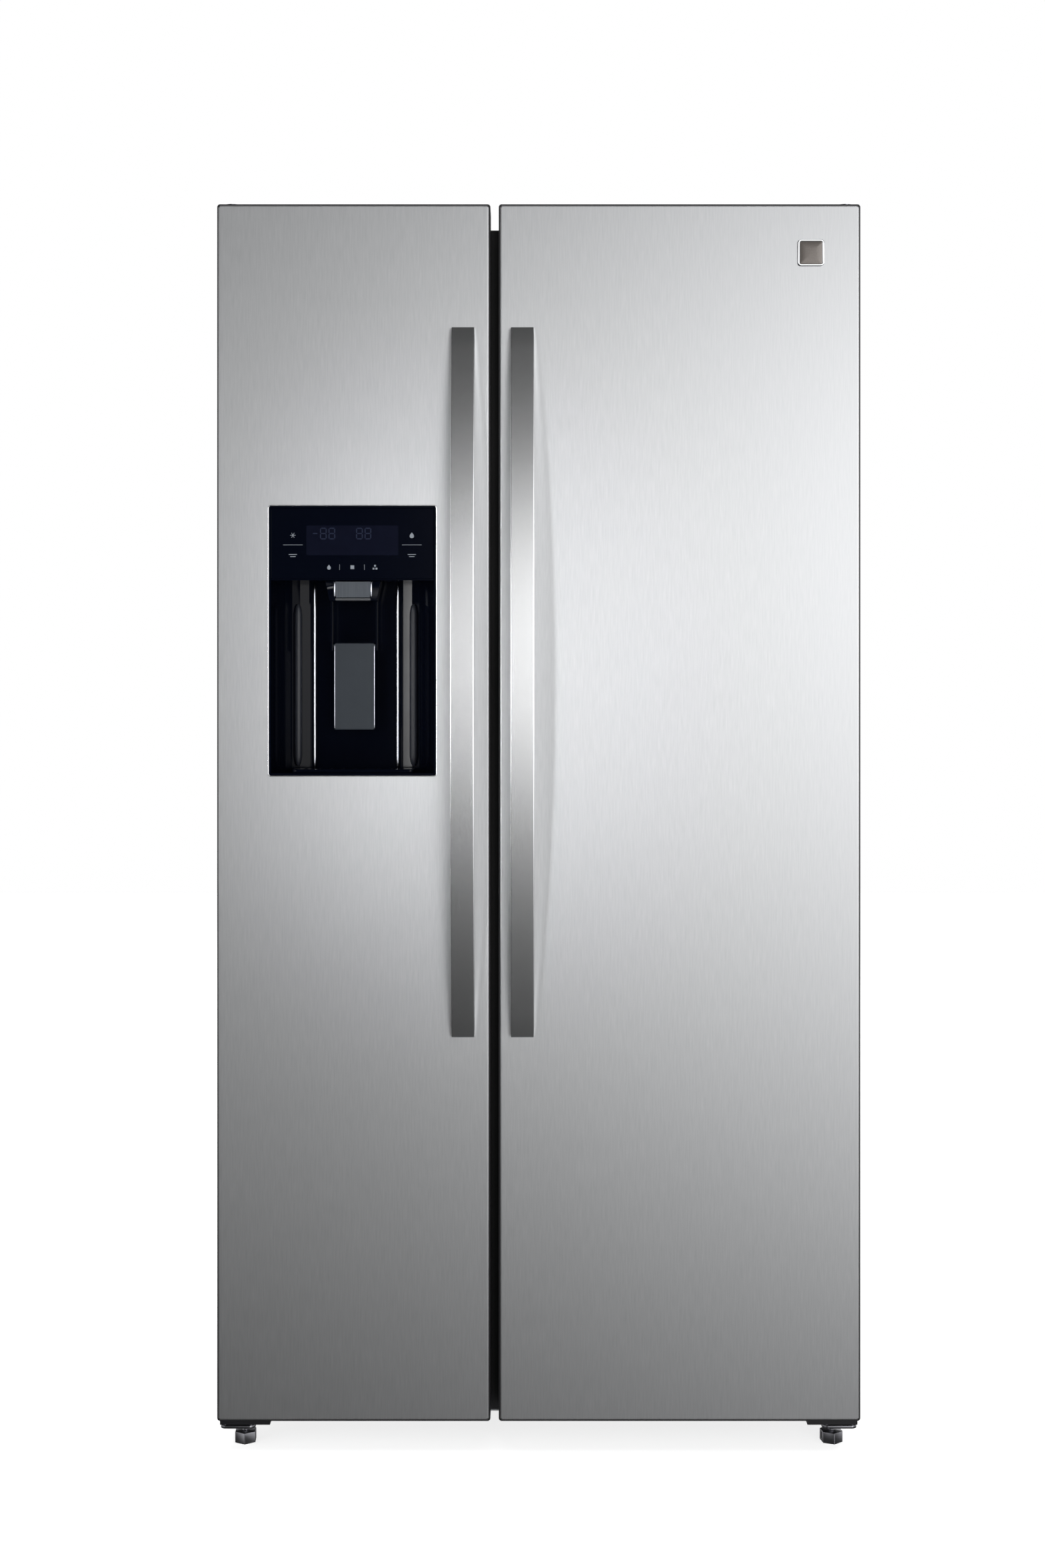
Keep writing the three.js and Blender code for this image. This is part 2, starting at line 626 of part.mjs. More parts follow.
const AIR_DUCT_DEPTH = 28;
const AIR_DUCT_WIDTH = 130;
const fridgeMidX = (fridge.x0 + fridge.x1) / 2;
const fridgeShelfBack = linerBack - AIR_DUCT_DEPTH - 8;

function airDuct() {
  const outline = roundedRectangle(fridgeMidX - AIR_DUCT_WIDTH / 2, crisperCoverZ + 20,
    fridgeMidX + AIR_DUCT_WIDTH / 2, ceilingZ - 6, 10);
  const front = linerBack - AIR_DUCT_DEPTH;
  const pitch = (ceilingZ - crisperCoverZ) / 5;
  const slots = [1, 2, 3, 4].map((i) => crisperCoverZ + i * pitch).map((z) => block(
    fridgeMidX - 40, fridgeMidX + 40, front - 1, front + 12, z, z + 10));
  return cut(sweepY(outline, front, linerBack - FIT), ...slots);
}

fridgeShelves.slice(0, 2).forEach((z, i) => {
  add(`fridge_shelf_${i + 1}`, shelf(fridge, z, fridgeShelfBack), glassSheet);
});
add('crisper_cover', shelf(fridge, crisperCoverZ, fridgeShelfBack), glassSheet);
add('crisper_1', drawer(fridge, upperDrawerZ, fridgeShelfBack - 10), clearPlastic);
add('crisper_2', drawer(fridge, lowerDrawerZ, lowerDrawerBack), clearPlastic);
add('air_duct', airDuct(), whitePlastic);

// ---- Doors ----

const leftDoor = {
  name: 'freezer_door',
  side: -1,
  x0: -sideX,
  x1: -sideX + LEFT_DOOR_WIDTH,
  handleX: -sideX + LEFT_DOOR_WIDTH - LEFT_HANDLE_IN,
};
const rightDoor = {
  name: 'fridge_door',
  side: 1,
  x0: gapX + CENTRE_GAP / 2,
  x1: sideX,
  handleX: gapX + CENTRE_GAP / 2 + RIGHT_HANDLE_IN,
};

const dispenser = {
  x0: -sideX + DISPENSER_IN,
  x1: -sideX + DISPENSER_IN + DISPENSER_WIDTH,
  z0: doorTop - DISPENSER_DROP - DISPENSER_HEIGHT,
  z1: doorTop - DISPENSER_DROP,
};
const dispenserX = (dispenser.x0 + dispenser.x1) / 2;
const dispenserBackY = faceY + DISPENSER_DEPTH;
const recessTop = dispenser.z1 - PANEL_HEIGHT;

// Ends of the rails and bins: clear of the hinge side, and of the mullion while the door swings.
function binSpan(door, depth) {
  const mullionX = door.side < 0 ? freezer.x1 : fridge.x0;
  const reachX = Math.abs(mullionX - door.side * hingeX);
  const reach = Math.hypot(reachX, caseY - hingeY) - SWING_ROOM;
  const free = door.side * hingeX - door.side * (Math.sqrt(reach ** 2 - depth ** 2) - 1);
  const hinged = door.side * (hingeX - RAIL_IN);
  return door.side < 0 ? [hinged, free] : [free, hinged];
}

function pinHoles(door) {
  const x = door.side * hingeX;
  const radius = PIN_RADIUS + PIN_ROOM;
  return [
    rodZ(radius, x, hingeY, doorTop - PIN_DEPTH, doorTop + 1),
    rodZ(radius, x, hingeY, DOOR_BOTTOM - BOSS_HEIGHT - 1, DOOR_BOTTOM + PIN_DEPTH),
  ];
}

function dispenserBlock(grow, y0, y1) {
  return sweepY(roundedRectangle(dispenser.x0 - grow, dispenser.z0 - grow,
    dispenser.x1 + grow, dispenser.z1 + grow, 3 + grow), y0, y1);
}

function doorSkin(door) {
  const outline = roundedRectangle(door.x0 + SKIN_INSET, DOOR_BOTTOM + SKIN_INSET,
    door.x1 - SKIN_INSET, doorTop - SKIN_INSET, DOOR_RADIUS - 1);
  const skin = sweepY(outline, faceY, faceY + SKIN, 1);
  return door.side < 0 ? cut(skin, dispenserBlock(FIT, faceY - 1, faceY + SKIN + 1)) : skin;
}

function doorEdge(door) {
  const outline = roundedRectangle(door.x0, DOOR_BOTTOM, door.x1, doorTop, DOOR_RADIUS);
  outline.holes.push(roundedRectangle(door.x0 + DOOR_EDGE, DOOR_BOTTOM + DOOR_EDGE,
    door.x1 - DOOR_EDGE, doorTop - DOOR_EDGE, DOOR_RADIUS - DOOR_EDGE));
  const ring = sweepY(outline, faceY + SKIN + FIT, doorBackY);
  const outer = door.side * (caseX - 1);
  const inner = outer - door.side * BOSS_WIDTH;
  const boss = block(Math.min(outer, inner), Math.max(outer, inner), hingeY - 16, doorBackY,
    DOOR_BOTTOM - BOSS_HEIGHT, DOOR_BOTTOM + 1);
  return cut(join(ring, boss), ...pinHoles(door));
}

function doorFoam(door) {
  const inset = DOOR_EDGE + FIT;
  const outline = roundedRectangle(door.x0 + inset, DOOR_BOTTOM + inset,
    door.x1 - inset, doorTop - inset, DOOR_RADIUS - DOOR_EDGE);
  const core = sweepY(outline, faceY + SKIN + FIT, doorBackY - FIT);
  const holes = pinHoles(door);
  if (door.side < 0) holes.push(dispenserBlock(FIT, faceY, doorBackY + 1));
  return cut(core, ...holes);
}

// Inner panel, with the ring of rails that the bins hang between.
function doorLiner(door) {
  const y0 = doorBackY + FIT;
  const sheet = roundedRectangle(door.x0 + LINER, DOOR_BOTTOM + LINER, door.x1 - LINER, doorTop - LINER, 3);
  const plate = sweepY(sheet, y0, y0 + LINER);
  const [x0, x1] = binSpan(door, doorBackY + RAIL_HEIGHT - hingeY);
  const z0 = floorZ + 12;
  const z1 = ceilingZ - 12;
  const ring = roundedRectangle(x0, z0, x1, z1, 8);
  ring.holes.push(roundedRectangle(x0 + RAIL, z0 + RAIL, x1 - RAIL, z1 - RAIL, 4));
  const rails = sweepY(ring, y0 + 1, doorBackY + RAIL_HEIGHT);
  if (door.side > 0) return join(plate, rails);
  const pocket = dispenserBlock(FIT + LINER, y0 + 1, dispenserBackY + FIT + LINER);
  return cut(join(plate, rails, pocket), dispenserBlock(FIT, y0 - 1, dispenserBackY + FIT));
}

function doorGasket(door) {
  const hinged = door.side * (hingeX - 6);
  const free = door.side < 0 ? door.x1 - 8 : door.x0 + 8;
  const [x0, x1] = [Math.min(hinged, free), Math.max(hinged, free)];
  const z0 = DOOR_BOTTOM + 14;
  const z1 = caseTop - 12;
  const ring = roundedRectangle(x0, z0, x1, z1, 6);
  ring.holes.push(roundedRectangle(x0 + GASKET, z0 + GASKET, x1 - GASKET, z1 - GASKET, 4));
  const y0 = doorBackY + FIT + LINER + FIT;
  return sweepY(ring, y0, y0 + GASKET_THICK);
}

// A flat bar bowed away from the door, with a foot at each end.
function handle(door) {
  const top = doorTop - HANDLE_DROP;
  const middle = top - HANDLE_LENGTH / 2;
  const half = HANDLE_LENGTH / 2;
  const seat = faceY - FIT;
  const toe = 9;
  const steps = 16;
  const points = [];
  for (let i = 0; i <= steps; i += 1) {
    const t = -1 + 2 * i / steps;
    points.push([faceY - toe - (HANDLE_REACH - toe) * (1 - t * t), middle + t * half]);
  }
  points.push([seat, top]);
  for (let i = 0; i <= steps; i += 1) {
    const t = 1 - 2 * i / steps;
    points.push([seat - (HANDLE_REACH - HANDLE_BAR) * (1 - t * t), middle + t * (half - HANDLE_FOOT)]);
  }
  points.push([seat, top - HANDLE_LENGTH]);
  const x0 = door.handleX - HANDLE_WIDTH / 2;
  return sweepX(polygon(points.reverse()), x0, x0 + HANDLE_WIDTH);
}

function doorBin(door, z) {
  const [x0, x1] = binSpan(door, BIN_REACH);
  const y0 = doorBackY + LINER + 2 * FIT + 1;
  return openBox(x0 + RAIL + 1, x1 - RAIL - 1, y0, hingeY + BIN_REACH, z, z + BIN_HEIGHT, BIN_WALL);
}

for (const door of [leftDoor, rightDoor]) {
  add(`${door.name}_skin`, doorSkin(door), brushedSteel);
  add(`${door.name}_edge`, doorEdge(door), charcoalPaint);
  add(`${door.name}_foam`, doorFoam(door), foam);
  add(`${door.name}_liner`, doorLiner(door), whitePlastic);
  add(`${door.name}_gasket`, doorGasket(door), greyRubber);
  add(`${door.name}_handle`, handle(door), polishedSteel);
  const room = dispenser.z0 - floorZ;
  const levels = door.side < 0 ? [0.56, 0.12] : [0.7, 0.14];
  levels.forEach((share, i) => {
    add(`${door.name}_bin_${i + 1}`, doorBin(door, floorZ + share * room), clearPlastic);
  });
}

// ---- Dispenser in the freezer door ----

const pivotY = faceY + PADDLE_BACK;
const paddleTop = recessTop - PADDLE_DROP;
const pivotZ = paddleTop - 4;
const PIVOT_RADIUS = 2.5;
const CHEEK = 3;
const cheekX = PADDLE_WIDTH / 2 + 1.5;

// Plan of the recess: its sides curve in to a narrower flat back.
function recessPlan(front) {
  const half = DISPENSER_WIDTH / 2 - HOUSING_WALL;
  const back = dispenserBackY - HOUSING_WALL;
  const flat = 60;
  const plan = new THREE.Shape();
  plan.moveTo(dispenserX - half, front);
  plan.lineTo(dispenserX + half, front);
  plan.lineTo(dispenserX + half, faceY + 12);
  plan.quadraticCurveTo(dispenserX + half - 6, back - 10, dispenserX + flat + 8, back - 6);
  plan.quadraticCurveTo(dispenserX + flat + 2, back - 4, dispenserX + flat, back);
  plan.lineTo(dispenserX - flat, back);
  plan.quadraticCurveTo(dispenserX - flat - 2, back - 4, dispenserX - flat - 8, back - 6);
  plan.quadraticCurveTo(dispenserX - half + 6, back - 10, dispenserX - half, faceY + 12);
  plan.closePath();
  return plan;
}

function dispenserHousing() {
  const front = faceY - 1;
  const body = dispenserBlock(0, front, dispenserBackY);
  const recess = sweepZ(recessPlan(front - 5), dispenser.z0 + HOUSING_WALL, recessTop);
  const seat = block(dispenser.x0 + HOUSING_WALL, dispenser.x1 - HOUSING_WALL,
    front - 5, faceY + PANEL_THICK, recessTop + 2, dispenser.z1 - HOUSING_WALL);
  return cut(body, recess, seat);
}

function controlPanel() {
  const outline = roundedRectangle(dispenser.x0 + HOUSING_WALL + FIT, recessTop + 2 + FIT,
    dispenser.x1 - HOUSING_WALL - FIT, dispenser.z1 - HOUSING_WALL - FIT, 2);
  return sweepY(outline, faceY - 1.5, faceY + PANEL_THICK - FIT, 0.6);
}

// Spout under the recess's ceiling, with two cheeks that carry the paddle's pivot.
function dispenserChute() {
  const z1 = recessTop - FIT;
  const outline = polygon([
    [dispenserX - cheekX - CHEEK - 6, z1], [dispenserX - cheekX - CHEEK, z1 - CHUTE_HEIGHT],
    [dispenserX + cheekX + CHEEK, z1 - CHUTE_HEIGHT], [dispenserX + cheekX + CHEEK + 6, z1],
  ].reverse());
  const y0 = pivotY - CHUTE_DEPTH + 6;
  const spout = sweepY(outline, y0, pivotY + 10);
  const cheeks = [-1, 1].map((u) => {
    const x = dispenserX + u * (cheekX + CHEEK / 2);
    return block(x - CHEEK / 2, x + CHEEK / 2, pivotY - 6, pivotY + 6, pivotZ - 7, z1 - CHUTE_HEIGHT + 1);
  });
  const throat = rodZ(11, dispenserX, y0 + CHUTE_DEPTH / 2, z1 - CHUTE_HEIGHT - 1, z1 + 1, 20);
  const bores = rodX(PIVOT_RADIUS + PIN_ROOM, dispenserX - 50, dispenserX + 50, pivotY, pivotZ, 16);
  return cut(join(spout, ...cheeks), throat, bores);
}

function dispenserPaddle() {
  const x0 = dispenserX - PADDLE_WIDTH / 2;
  const outline = roundedRectangle(x0, paddleTop - PADDLE_HEIGHT, x0 + PADDLE_WIDTH, paddleTop, 3);
  const plate = sweepY(outline, pivotY - PADDLE_THICK / 2, pivotY + PADDLE_THICK / 2, 1);
  const pivot = rodX(PIVOT_RADIUS, x0 - CHEEK, x0 + PADDLE_WIDTH + CHEEK, pivotY, pivotZ, 12);
  return join(plate, pivot);
}

function dripTray() {
  const half = 86;
  const y0 = faceY + 3;
  const y1 = faceY + 52;
  const z0 = dispenser.z0 + HOUSING_WALL + FIT;
  const plate = sweepZ(roundedRectangle(dispenserX - half, y0, dispenserX + half, y1, 6), z0, z0 + TRAY_THICK);
  const slots = [];
  for (let i = -4; i <= 4; i += 1) {
    const x = dispenserX + i * 17;
    slots.push(block(x - 3, x + 3, y0 + 9, y1 - 9, z0 - 1, z0 + TRAY_THICK + 1));
  }
  return cut(plate, ...slots);
}

add('dispenser_housing', dispenserHousing(), blackGloss);
add('control_panel', controlPanel(), blackGloss);
add('dispenser_chute', dispenserChute(), darkGrey);
add('dispenser_paddle', dispenserPaddle(), slatePlastic);
add('drip_tray', dripTray(), darkGrey);

// ---- Fridge door's dairy box and badge ----

const dairyZ1 = ceilingZ - DAIRY_DROP;
const dairyZ0 = dairyZ1 - DAIRY_HEIGHT;
const dairyBack = hingeY + BIN_REACH - 8;
const coverY = dairyBack + 5;
const coverZ = dairyZ1 - 5;
const COVER_THICK = 3;
const COVER_PIN = 2;
const [binX0, binX1] = binSpan(rightDoor, BIN_REACH);
const dairyX0 = binX0 + RAIL + 1;
const dairyX1 = binX1 - RAIL - 1;

function dairyBox() {
  const y0 = doorBackY + LINER + 2 * FIT + 1;
  const body = block(dairyX0, dairyX1, y0, dairyBack, dairyZ0, dairyZ1);
  const room = block(dairyX0 + BIN_WALL, dairyX1 - BIN_WALL, y0 + BIN_WALL, dairyBack + 9,
    dairyZ0 + BIN_WALL, dairyZ1 - BIN_WALL);
  const ears = [dairyX0, dairyX1 - BIN_WALL].map((x) => block(
    x, x + BIN_WALL, dairyBack - 2, coverY + 4, dairyZ1 - 10, dairyZ1));
  const bore = rodX(COVER_PIN + PIN_ROOM, dairyX0 - 5, dairyX1 + 5, coverY, coverZ, 12);
  return cut(join(cut(body, room), ...ears), bore);
}

function dairyCover() {
  const x0 = dairyX0 + BIN_WALL + 0.6;
  const x1 = dairyX1 - BIN_WALL - 0.6;
  const plate = block(x0, x1, coverY - COVER_THICK / 2, coverY + COVER_THICK / 2, dairyZ0 + 2, coverZ);
  const barrel = rodX(2.6, x0, x1, coverY, coverZ, 12);
  const pin = rodX(COVER_PIN, x0 - BIN_WALL, x1 + BIN_WALL, coverY, coverZ, 12);
  const grip = block((x0 + x1) / 2 - 40, (x0 + x1) / 2 + 40, coverY, coverY + 8, dairyZ0 + 2, dairyZ0 + 6);
  return join(plate, barrel, pin, grip);
}

function badge() {
  const x0 = sideX - BADGE_IN - BADGE;
  const z1 = doorTop - BADGE_DROP;
  return sweepY(roundedRectangle(x0, z1 - BADGE, x0 + BADGE, z1, 5), faceY - FIT - 2.5, faceY - FIT, 0.8);
}

add('dairy_box', dairyBox(), clearPlastic);
add('dairy_cover', dairyCover(), clearPlastic);
add('badge', badge(), polishedSteel);

export default fridgeGroup;
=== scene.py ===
import math

import bmesh
import bpy
from mathutils import Matrix, Vector


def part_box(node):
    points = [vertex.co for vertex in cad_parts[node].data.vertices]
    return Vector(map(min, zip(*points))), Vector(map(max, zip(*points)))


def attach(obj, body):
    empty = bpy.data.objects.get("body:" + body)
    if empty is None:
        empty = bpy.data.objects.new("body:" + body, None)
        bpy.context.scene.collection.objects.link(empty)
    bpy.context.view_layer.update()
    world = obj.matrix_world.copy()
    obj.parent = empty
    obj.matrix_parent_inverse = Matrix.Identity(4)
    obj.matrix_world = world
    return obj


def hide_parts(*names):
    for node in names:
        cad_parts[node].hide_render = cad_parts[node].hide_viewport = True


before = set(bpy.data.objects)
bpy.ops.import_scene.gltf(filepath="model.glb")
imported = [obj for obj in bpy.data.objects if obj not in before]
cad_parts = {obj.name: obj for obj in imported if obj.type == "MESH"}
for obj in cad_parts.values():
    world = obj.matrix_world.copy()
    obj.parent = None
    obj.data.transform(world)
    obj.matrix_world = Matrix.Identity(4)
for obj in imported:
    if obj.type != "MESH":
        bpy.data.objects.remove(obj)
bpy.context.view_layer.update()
mm = 0.001


# ---- Cabinet wrapper and door edges ----
# Cold rolled steel sheet, folded and coated with a charcoal baked enamel that dries
# with a faint orange peel. Its reflection is set weaker than a plain enamel's.

def linear(code):
    parts = [int(code[i:i + 2], 16) / 255 for i in (0, 2, 4)]
    return (*[c / 12.92 if c <= 0.04045 else ((c + 0.055) / 1.055) ** 2.4 for c in parts], 1)


def start_material(name, colour, metallic, roughness):
    material = bpy.data.materials.new(name)
    material.use_nodes = True
    shader = material.node_tree.nodes["Principled BSDF"]
    shader.inputs["Base Color"].default_value = linear(colour)
    shader.inputs["Metallic"].default_value = metallic
    shader.inputs["Roughness"].default_value = roughness
    return material, material.node_tree, shader


def add_node(tree, kind, settings={}, values={}, links={}):
    node = tree.nodes.new(kind)
    for name, value in settings.items():
        setattr(node, name, value)
    for name, value in values.items():
        node.inputs[name].default_value = value
    for name, socket in links.items():
        tree.links.new(socket, node.inputs[name])
    return node


def dress(node, material, bevel=0.0, segments=2):
    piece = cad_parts[node]
    piece.material_slots[0].material = material
    if bevel:
        weld = piece.modifiers.new("weld", "WELD")
        weld.merge_threshold = 0.01 * mm
        soft = piece.modifiers.new("soft_edges", "BEVEL")
        soft.width = bevel
        soft.segments = segments
        soft.limit_method = "ANGLE"
        soft.angle_limit = math.radians(40)
        soft.harden_normals = True
    piece.data.shade_smooth()
    piece.data.set_sharp_from_angle(angle=math.radians(35))
    return piece


charcoal, tree, shader = start_material("charcoal_baked_enamel", "121215", 0.0, 0.38)
shader.inputs["Specular IOR Level"].default_value = 0.3
place = add_node(tree, "ShaderNodeTexCoord")
peel_size = 3 * mm
peel = add_node(tree, "ShaderNodeTexNoise", values={"Scale": 1 / peel_size, "Detail": 2},
                links={"Vector": place.outputs["Object"]})
dust = add_node(tree, "ShaderNodeTexNoise", values={"Scale": 1 / (180 * mm), "Detail": 5},
                links={"Vector": place.outputs["Object"]})
spread = add_node(tree, "ShaderNodeMapRange", values={"To Min": 0.32, "To Max": 0.46},
                  links={"Value": dust.outputs["Fac"]})
tree.links.new(spread.outputs["Result"], shader.inputs["Roughness"])
bump = add_node(tree, "ShaderNodeBump", values={"Strength": 0.12, "Distance": 0.05 * mm},
                links={"Height": peel.outputs["Fac"]})
tree.links.new(bump.outputs["Normal"], shader.inputs["Normal"])
tint = add_node(tree, "ShaderNodeMix", {"data_type": "RGBA"},
                {"A": linear("0f0f12"), "B": linear("151518")}, {"Factor": dust.outputs["Fac"]})
tree.links.new(tint.outputs["Result"], shader.inputs["Base Color"])

for node in ("cabinet_shell", "face_frame"):
    dress(node, charcoal)
for door in ("freezer_door", "fridge_door"):
    dress(f"{door}_edge", charcoal)


# ---- Plated steel: rear panel, base pan, hinges and feet ----
# Hot dipped zinc shows its spangle, soft grey crystals about a centimetre across. The
# hinges and feet are bright zinc plated and duller where they were stamped.

zinc, tree, shader = start_material("galvanised_sheet", "9c9fa1", 1.0, 0.42)
place = add_node(tree, "ShaderNodeTexCoord")
spangle_size = 14 * mm
spangle = add_node(tree, "ShaderNodeTexVoronoi", values={"Scale": 1 / spangle_size},
                   links={"Vector": place.outputs["Object"]})
grey = add_node(tree, "ShaderNodeSeparateColor", links={"Color": spangle.outputs["Color"]})
tint = add_node(tree, "ShaderNodeMix", {"data_type": "RGBA"},
                {"A": linear("999c9e"), "B": linear("a7aaac")}, {"Factor": grey.outputs["Red"]})
tree.links.new(tint.outputs["Result"], shader.inputs["Base Color"])
spread = add_node(tree, "ShaderNodeMapRange", values={"To Min": 0.4, "To Max": 0.48},
                  links={"Value": grey.outputs["Green"]})
tree.links.new(spread.outputs["Result"], shader.inputs["Roughness"])

plated, tree, shader = start_material("bright_zinc_plate", "8b8b90", 1.0, 0.3)
place = add_node(tree, "ShaderNodeTexCoord")
stamp = add_node(tree, "ShaderNodeTexNoise", values={"Scale": 1 / (6 * mm), "Detail": 4},
                 links={"Vector": place.outputs["Object"]})
spread = add_node(tree, "ShaderNodeMapRange", values={"To Min": 0.22, "To Max": 0.42},
                  links={"Value": stamp.outputs["Fac"]})
tree.links.new(spread.outputs["Result"], shader.inputs["Roughness"])

dress("rear_panel", zinc)
dress("base_pan", zinc)
for side in ("left", "right"):
    dress(f"top_hinge_{side}", plated)
    dress(f"lower_hinge_{side}", plated, 0.5 * mm)
    dress(f"levelling_foot_{side}", plated, 0.8 * mm)


# ---- Inner liners, air duct and ice maker ----
# White ABS, vacuum formed for the liners and injection moulded for the rest, with the
# light spark texture of a moulding tool, drawn coarser here than it is.

abs_white, tree, shader = start_material("moulded_white_abs", "dfe2e1", 0.0, 0.34)
shader.inputs["IOR"].default_value = 1.53
place = add_node(tree, "ShaderNodeTexCoord")
spark = add_node(tree, "ShaderNodeTexNoise", values={"Scale": 1 / (1.5 * mm), "Detail": 2},
                 links={"Vector": place.outputs["Object"]})
cloud = add_node(tree, "ShaderNodeTexNoise", values={"Scale": 1 / (250 * mm), "Detail": 3},
                 links={"Vector": place.outputs["Object"]})
tint = add_node(tree, "ShaderNodeMix", {"data_type": "RGBA"},
                {"A": linear("dbdedd"), "B": linear("e4e6e5")}, {"Factor": cloud.outputs["Fac"]})
tree.links.new(tint.outputs["Result"], shader.inputs["Base Color"])
bump = add_node(tree, "ShaderNodeBump", values={"Strength": 0.08, "Distance": 0.03 * mm},
                links={"Height": spark.outputs["Fac"]})
tree.links.new(bump.outputs["Normal"], shader.inputs["Normal"])

for node in ("freezer_liner", "fridge_liner", "freezer_door_liner", "fridge_door_liner"):
    dress(node, abs_white)
for node in ("air_duct", "evaporator_cover", "ice_maker"):
    dress(node, abs_white, 1.2 * mm)


# ---- Foam ----
# Rigid polyurethane, poured between the liner and the sheet, yellow and closed celled.
# The cells are well under a millimetre across and are drawn coarser here.

foam, tree, shader = start_material("poured_polyurethane_foam", "d9c48c", 0.0, 0.9)
place = add_node(tree, "ShaderNodeTexCoord")
cells = add_node(tree, "ShaderNodeTexVoronoi", values={"Scale": 1 / (2.5 * mm)},
                 links={"Vector": place.outputs["Object"]})
tint = add_node(tree, "ShaderNodeMix", {"data_type": "RGBA"},
                {"A": linear("cbb478"), "B": linear("e6d6a4")}, {"Factor": cells.outputs["Distance"]})
tree.links.new(tint.outputs["Result"], shader.inputs["Base Color"])
bump = add_node(tree, "ShaderNodeBump", values={"Strength": 0.3, "Distance": 0.3 * mm},
                links={"Height": cells.outputs["Distance"]})
tree.links.new(bump.outputs["Normal"], shader.inputs["Normal"])
for node in ("cabinet_insulation", "freezer_door_foam", "fridge_door_foam"):
    dress(node, foam)


# ---- Door faces ----
# Type 430 stainless sheet, belt brushed from top to bottom. The scratches are about
# 0.1 mm wide, drawn coarser here so that they show, and they smear reflections sideways.

stainless, tree, shader = start_material("vertically_brushed_stainless", "b4b5b6", 1.0, 0.38)
shader.inputs["Anisotropic"].default_value = 0.5
place = add_node(tree, "ShaderNodeTexCoord")
grain_width = 1.6 * mm
grain_length = 30 * mm
stretch = add_node(tree, "ShaderNodeMapping",
                   values={"Scale": (1 / grain_width, 1 / grain_width, 1 / grain_length)},
                   links={"Vector": place.outputs["Object"]})
grain = add_node(tree, "ShaderNodeTexNoise", values={"Scale": 1.0, "Detail": 3, "Roughness": 0.5},
                 links={"Vector": stretch.outputs["Vector"]})
tint = add_node(tree, "ShaderNodeMix", {"data_type": "RGBA"},
                {"A": linear("a9aaac"), "B": linear("bcbdbe")}, {"Factor": grain.outputs["Fac"]})
tree.links.new(tint.outputs["Result"], shader.inputs["Base Color"])
spread = add_node(tree, "ShaderNodeMapRange", values={"To Min": 0.34, "To Max": 0.42},
                  links={"Value": grain.outputs["Fac"]})
tree.links.new(spread.outputs["Result"], shader.inputs["Roughness"])
bump = add_node(tree, "ShaderNodeBump", values={"Strength": 0.03, "Distance": 0.02 * mm},
                links={"Height": grain.outputs["Fac"]})
tree.links.new(bump.outputs["Normal"], shader.inputs["Normal"])


def new_piece(name, mesh, material, body, smooth=35):
    data = bpy.data.meshes.new(name)
    bmesh.ops.recalc_face_normals(mesh, faces=mesh.faces)
    mesh.to_mesh(data)
    mesh.free()
    data.materials.append(material)
    data.shade_smooth()
    data.set_sharp_from_angle(angle=math.radians(smooth))
    piece = bpy.data.objects.new(name, data)
    bpy.context.scene.collection.objects.link(piece)
    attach(piece, body)
    return piece


def loft(rings, closed=False):
    mesh = bmesh.new()
    rows = [[mesh.verts.new(point) for point in ring] for ring in rings]
    pairs = list(zip(rows, rows[1:])) + ([(rows[-1], rows[0])] if closed else [])
    for low, high in pairs:
        for i in range(len(low)):
            j = (i + 1) % len(low)
            mesh.faces.new((low[i], low[j], high[j], high[i]))
    if not closed:
        mesh.faces.new(rows[0])
        mesh.faces.new(rows[-1])
    return mesh


def rounded(u0, v0, u1, v1, radius, steps=4, hold=0.0):
    """A rectangle with round corners. With `hold`, extra points keep its sides flat."""
    points = []
    corners = ((u1, v0, -90), (u1, v1, 0), (u0, v1, 90), (u0, v0, 180))
    for u, v, start in corners:
        cu = u - radius if u == u1 else u + radius
        cv = v - radius if v == v1 else v + radius
        arc = []
        for i in range(steps + 1):
            angle = math.radians(start + 90 * i / steps)
            arc.append((cu + radius * math.cos(angle), cv + radius * math.sin(angle)))
        if hold:
            along = math.radians(start)
            before = (arc[0][0] + hold * math.sin(along), arc[0][1] - hold * math.cos(along))
            after = (arc[-1][0] - hold * math.cos(along), arc[-1][1] - hold * math.sin(along))
            arc = [before, *arc, after]
        points += arc
    return points


fold = 1.6 * mm
for door in ("freezer_door", "fridge_door"):
    low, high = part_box(f"{door}_skin")
    levels = [(0, high.y)]
    for i in range(5):
        angle = math.radians(22.5 * i)
        levels.append((fold * (1 - math.cos(angle)), low.y + fold * (1 - math.sin(angle))))
    levels.append((fold + 0.8 * mm, low.y))
    rings = []
    for inset, y in levels:
        outline = rounded(low.x + inset, low.z + inset, high.x - inset, high.z - inset,
                          3.2 * mm - inset / 2)
        rings.append([(x, y, z) for x, z in outline])
    if door == "freezer_door":
        hole_low, hole_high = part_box("dispenser_housing")
        for out, y in ((1.0, low.y), (0.25, low.y), (0.25, high.y)):
            grow = out * mm
            outline = rounded(hole_low.x - grow, hole_low.z - grow,
                              hole_high.x + grow, hole_high.z + grow, 3 * mm)
            rings.append([(x, y, z) for x, z in outline])
        sheet = loft(rings, closed=True)
    else:
        sheet = loft(rings)
    face = new_piece(f"{door}_face", sheet, stainless, door)
    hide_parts(f"{door}_skin")


# ---- Handles ----
# One bar of stainless for each door, bent to a bow and ground satin along its length,
# with the scratches drawn coarser than they are. Its ends stand flat on the door.

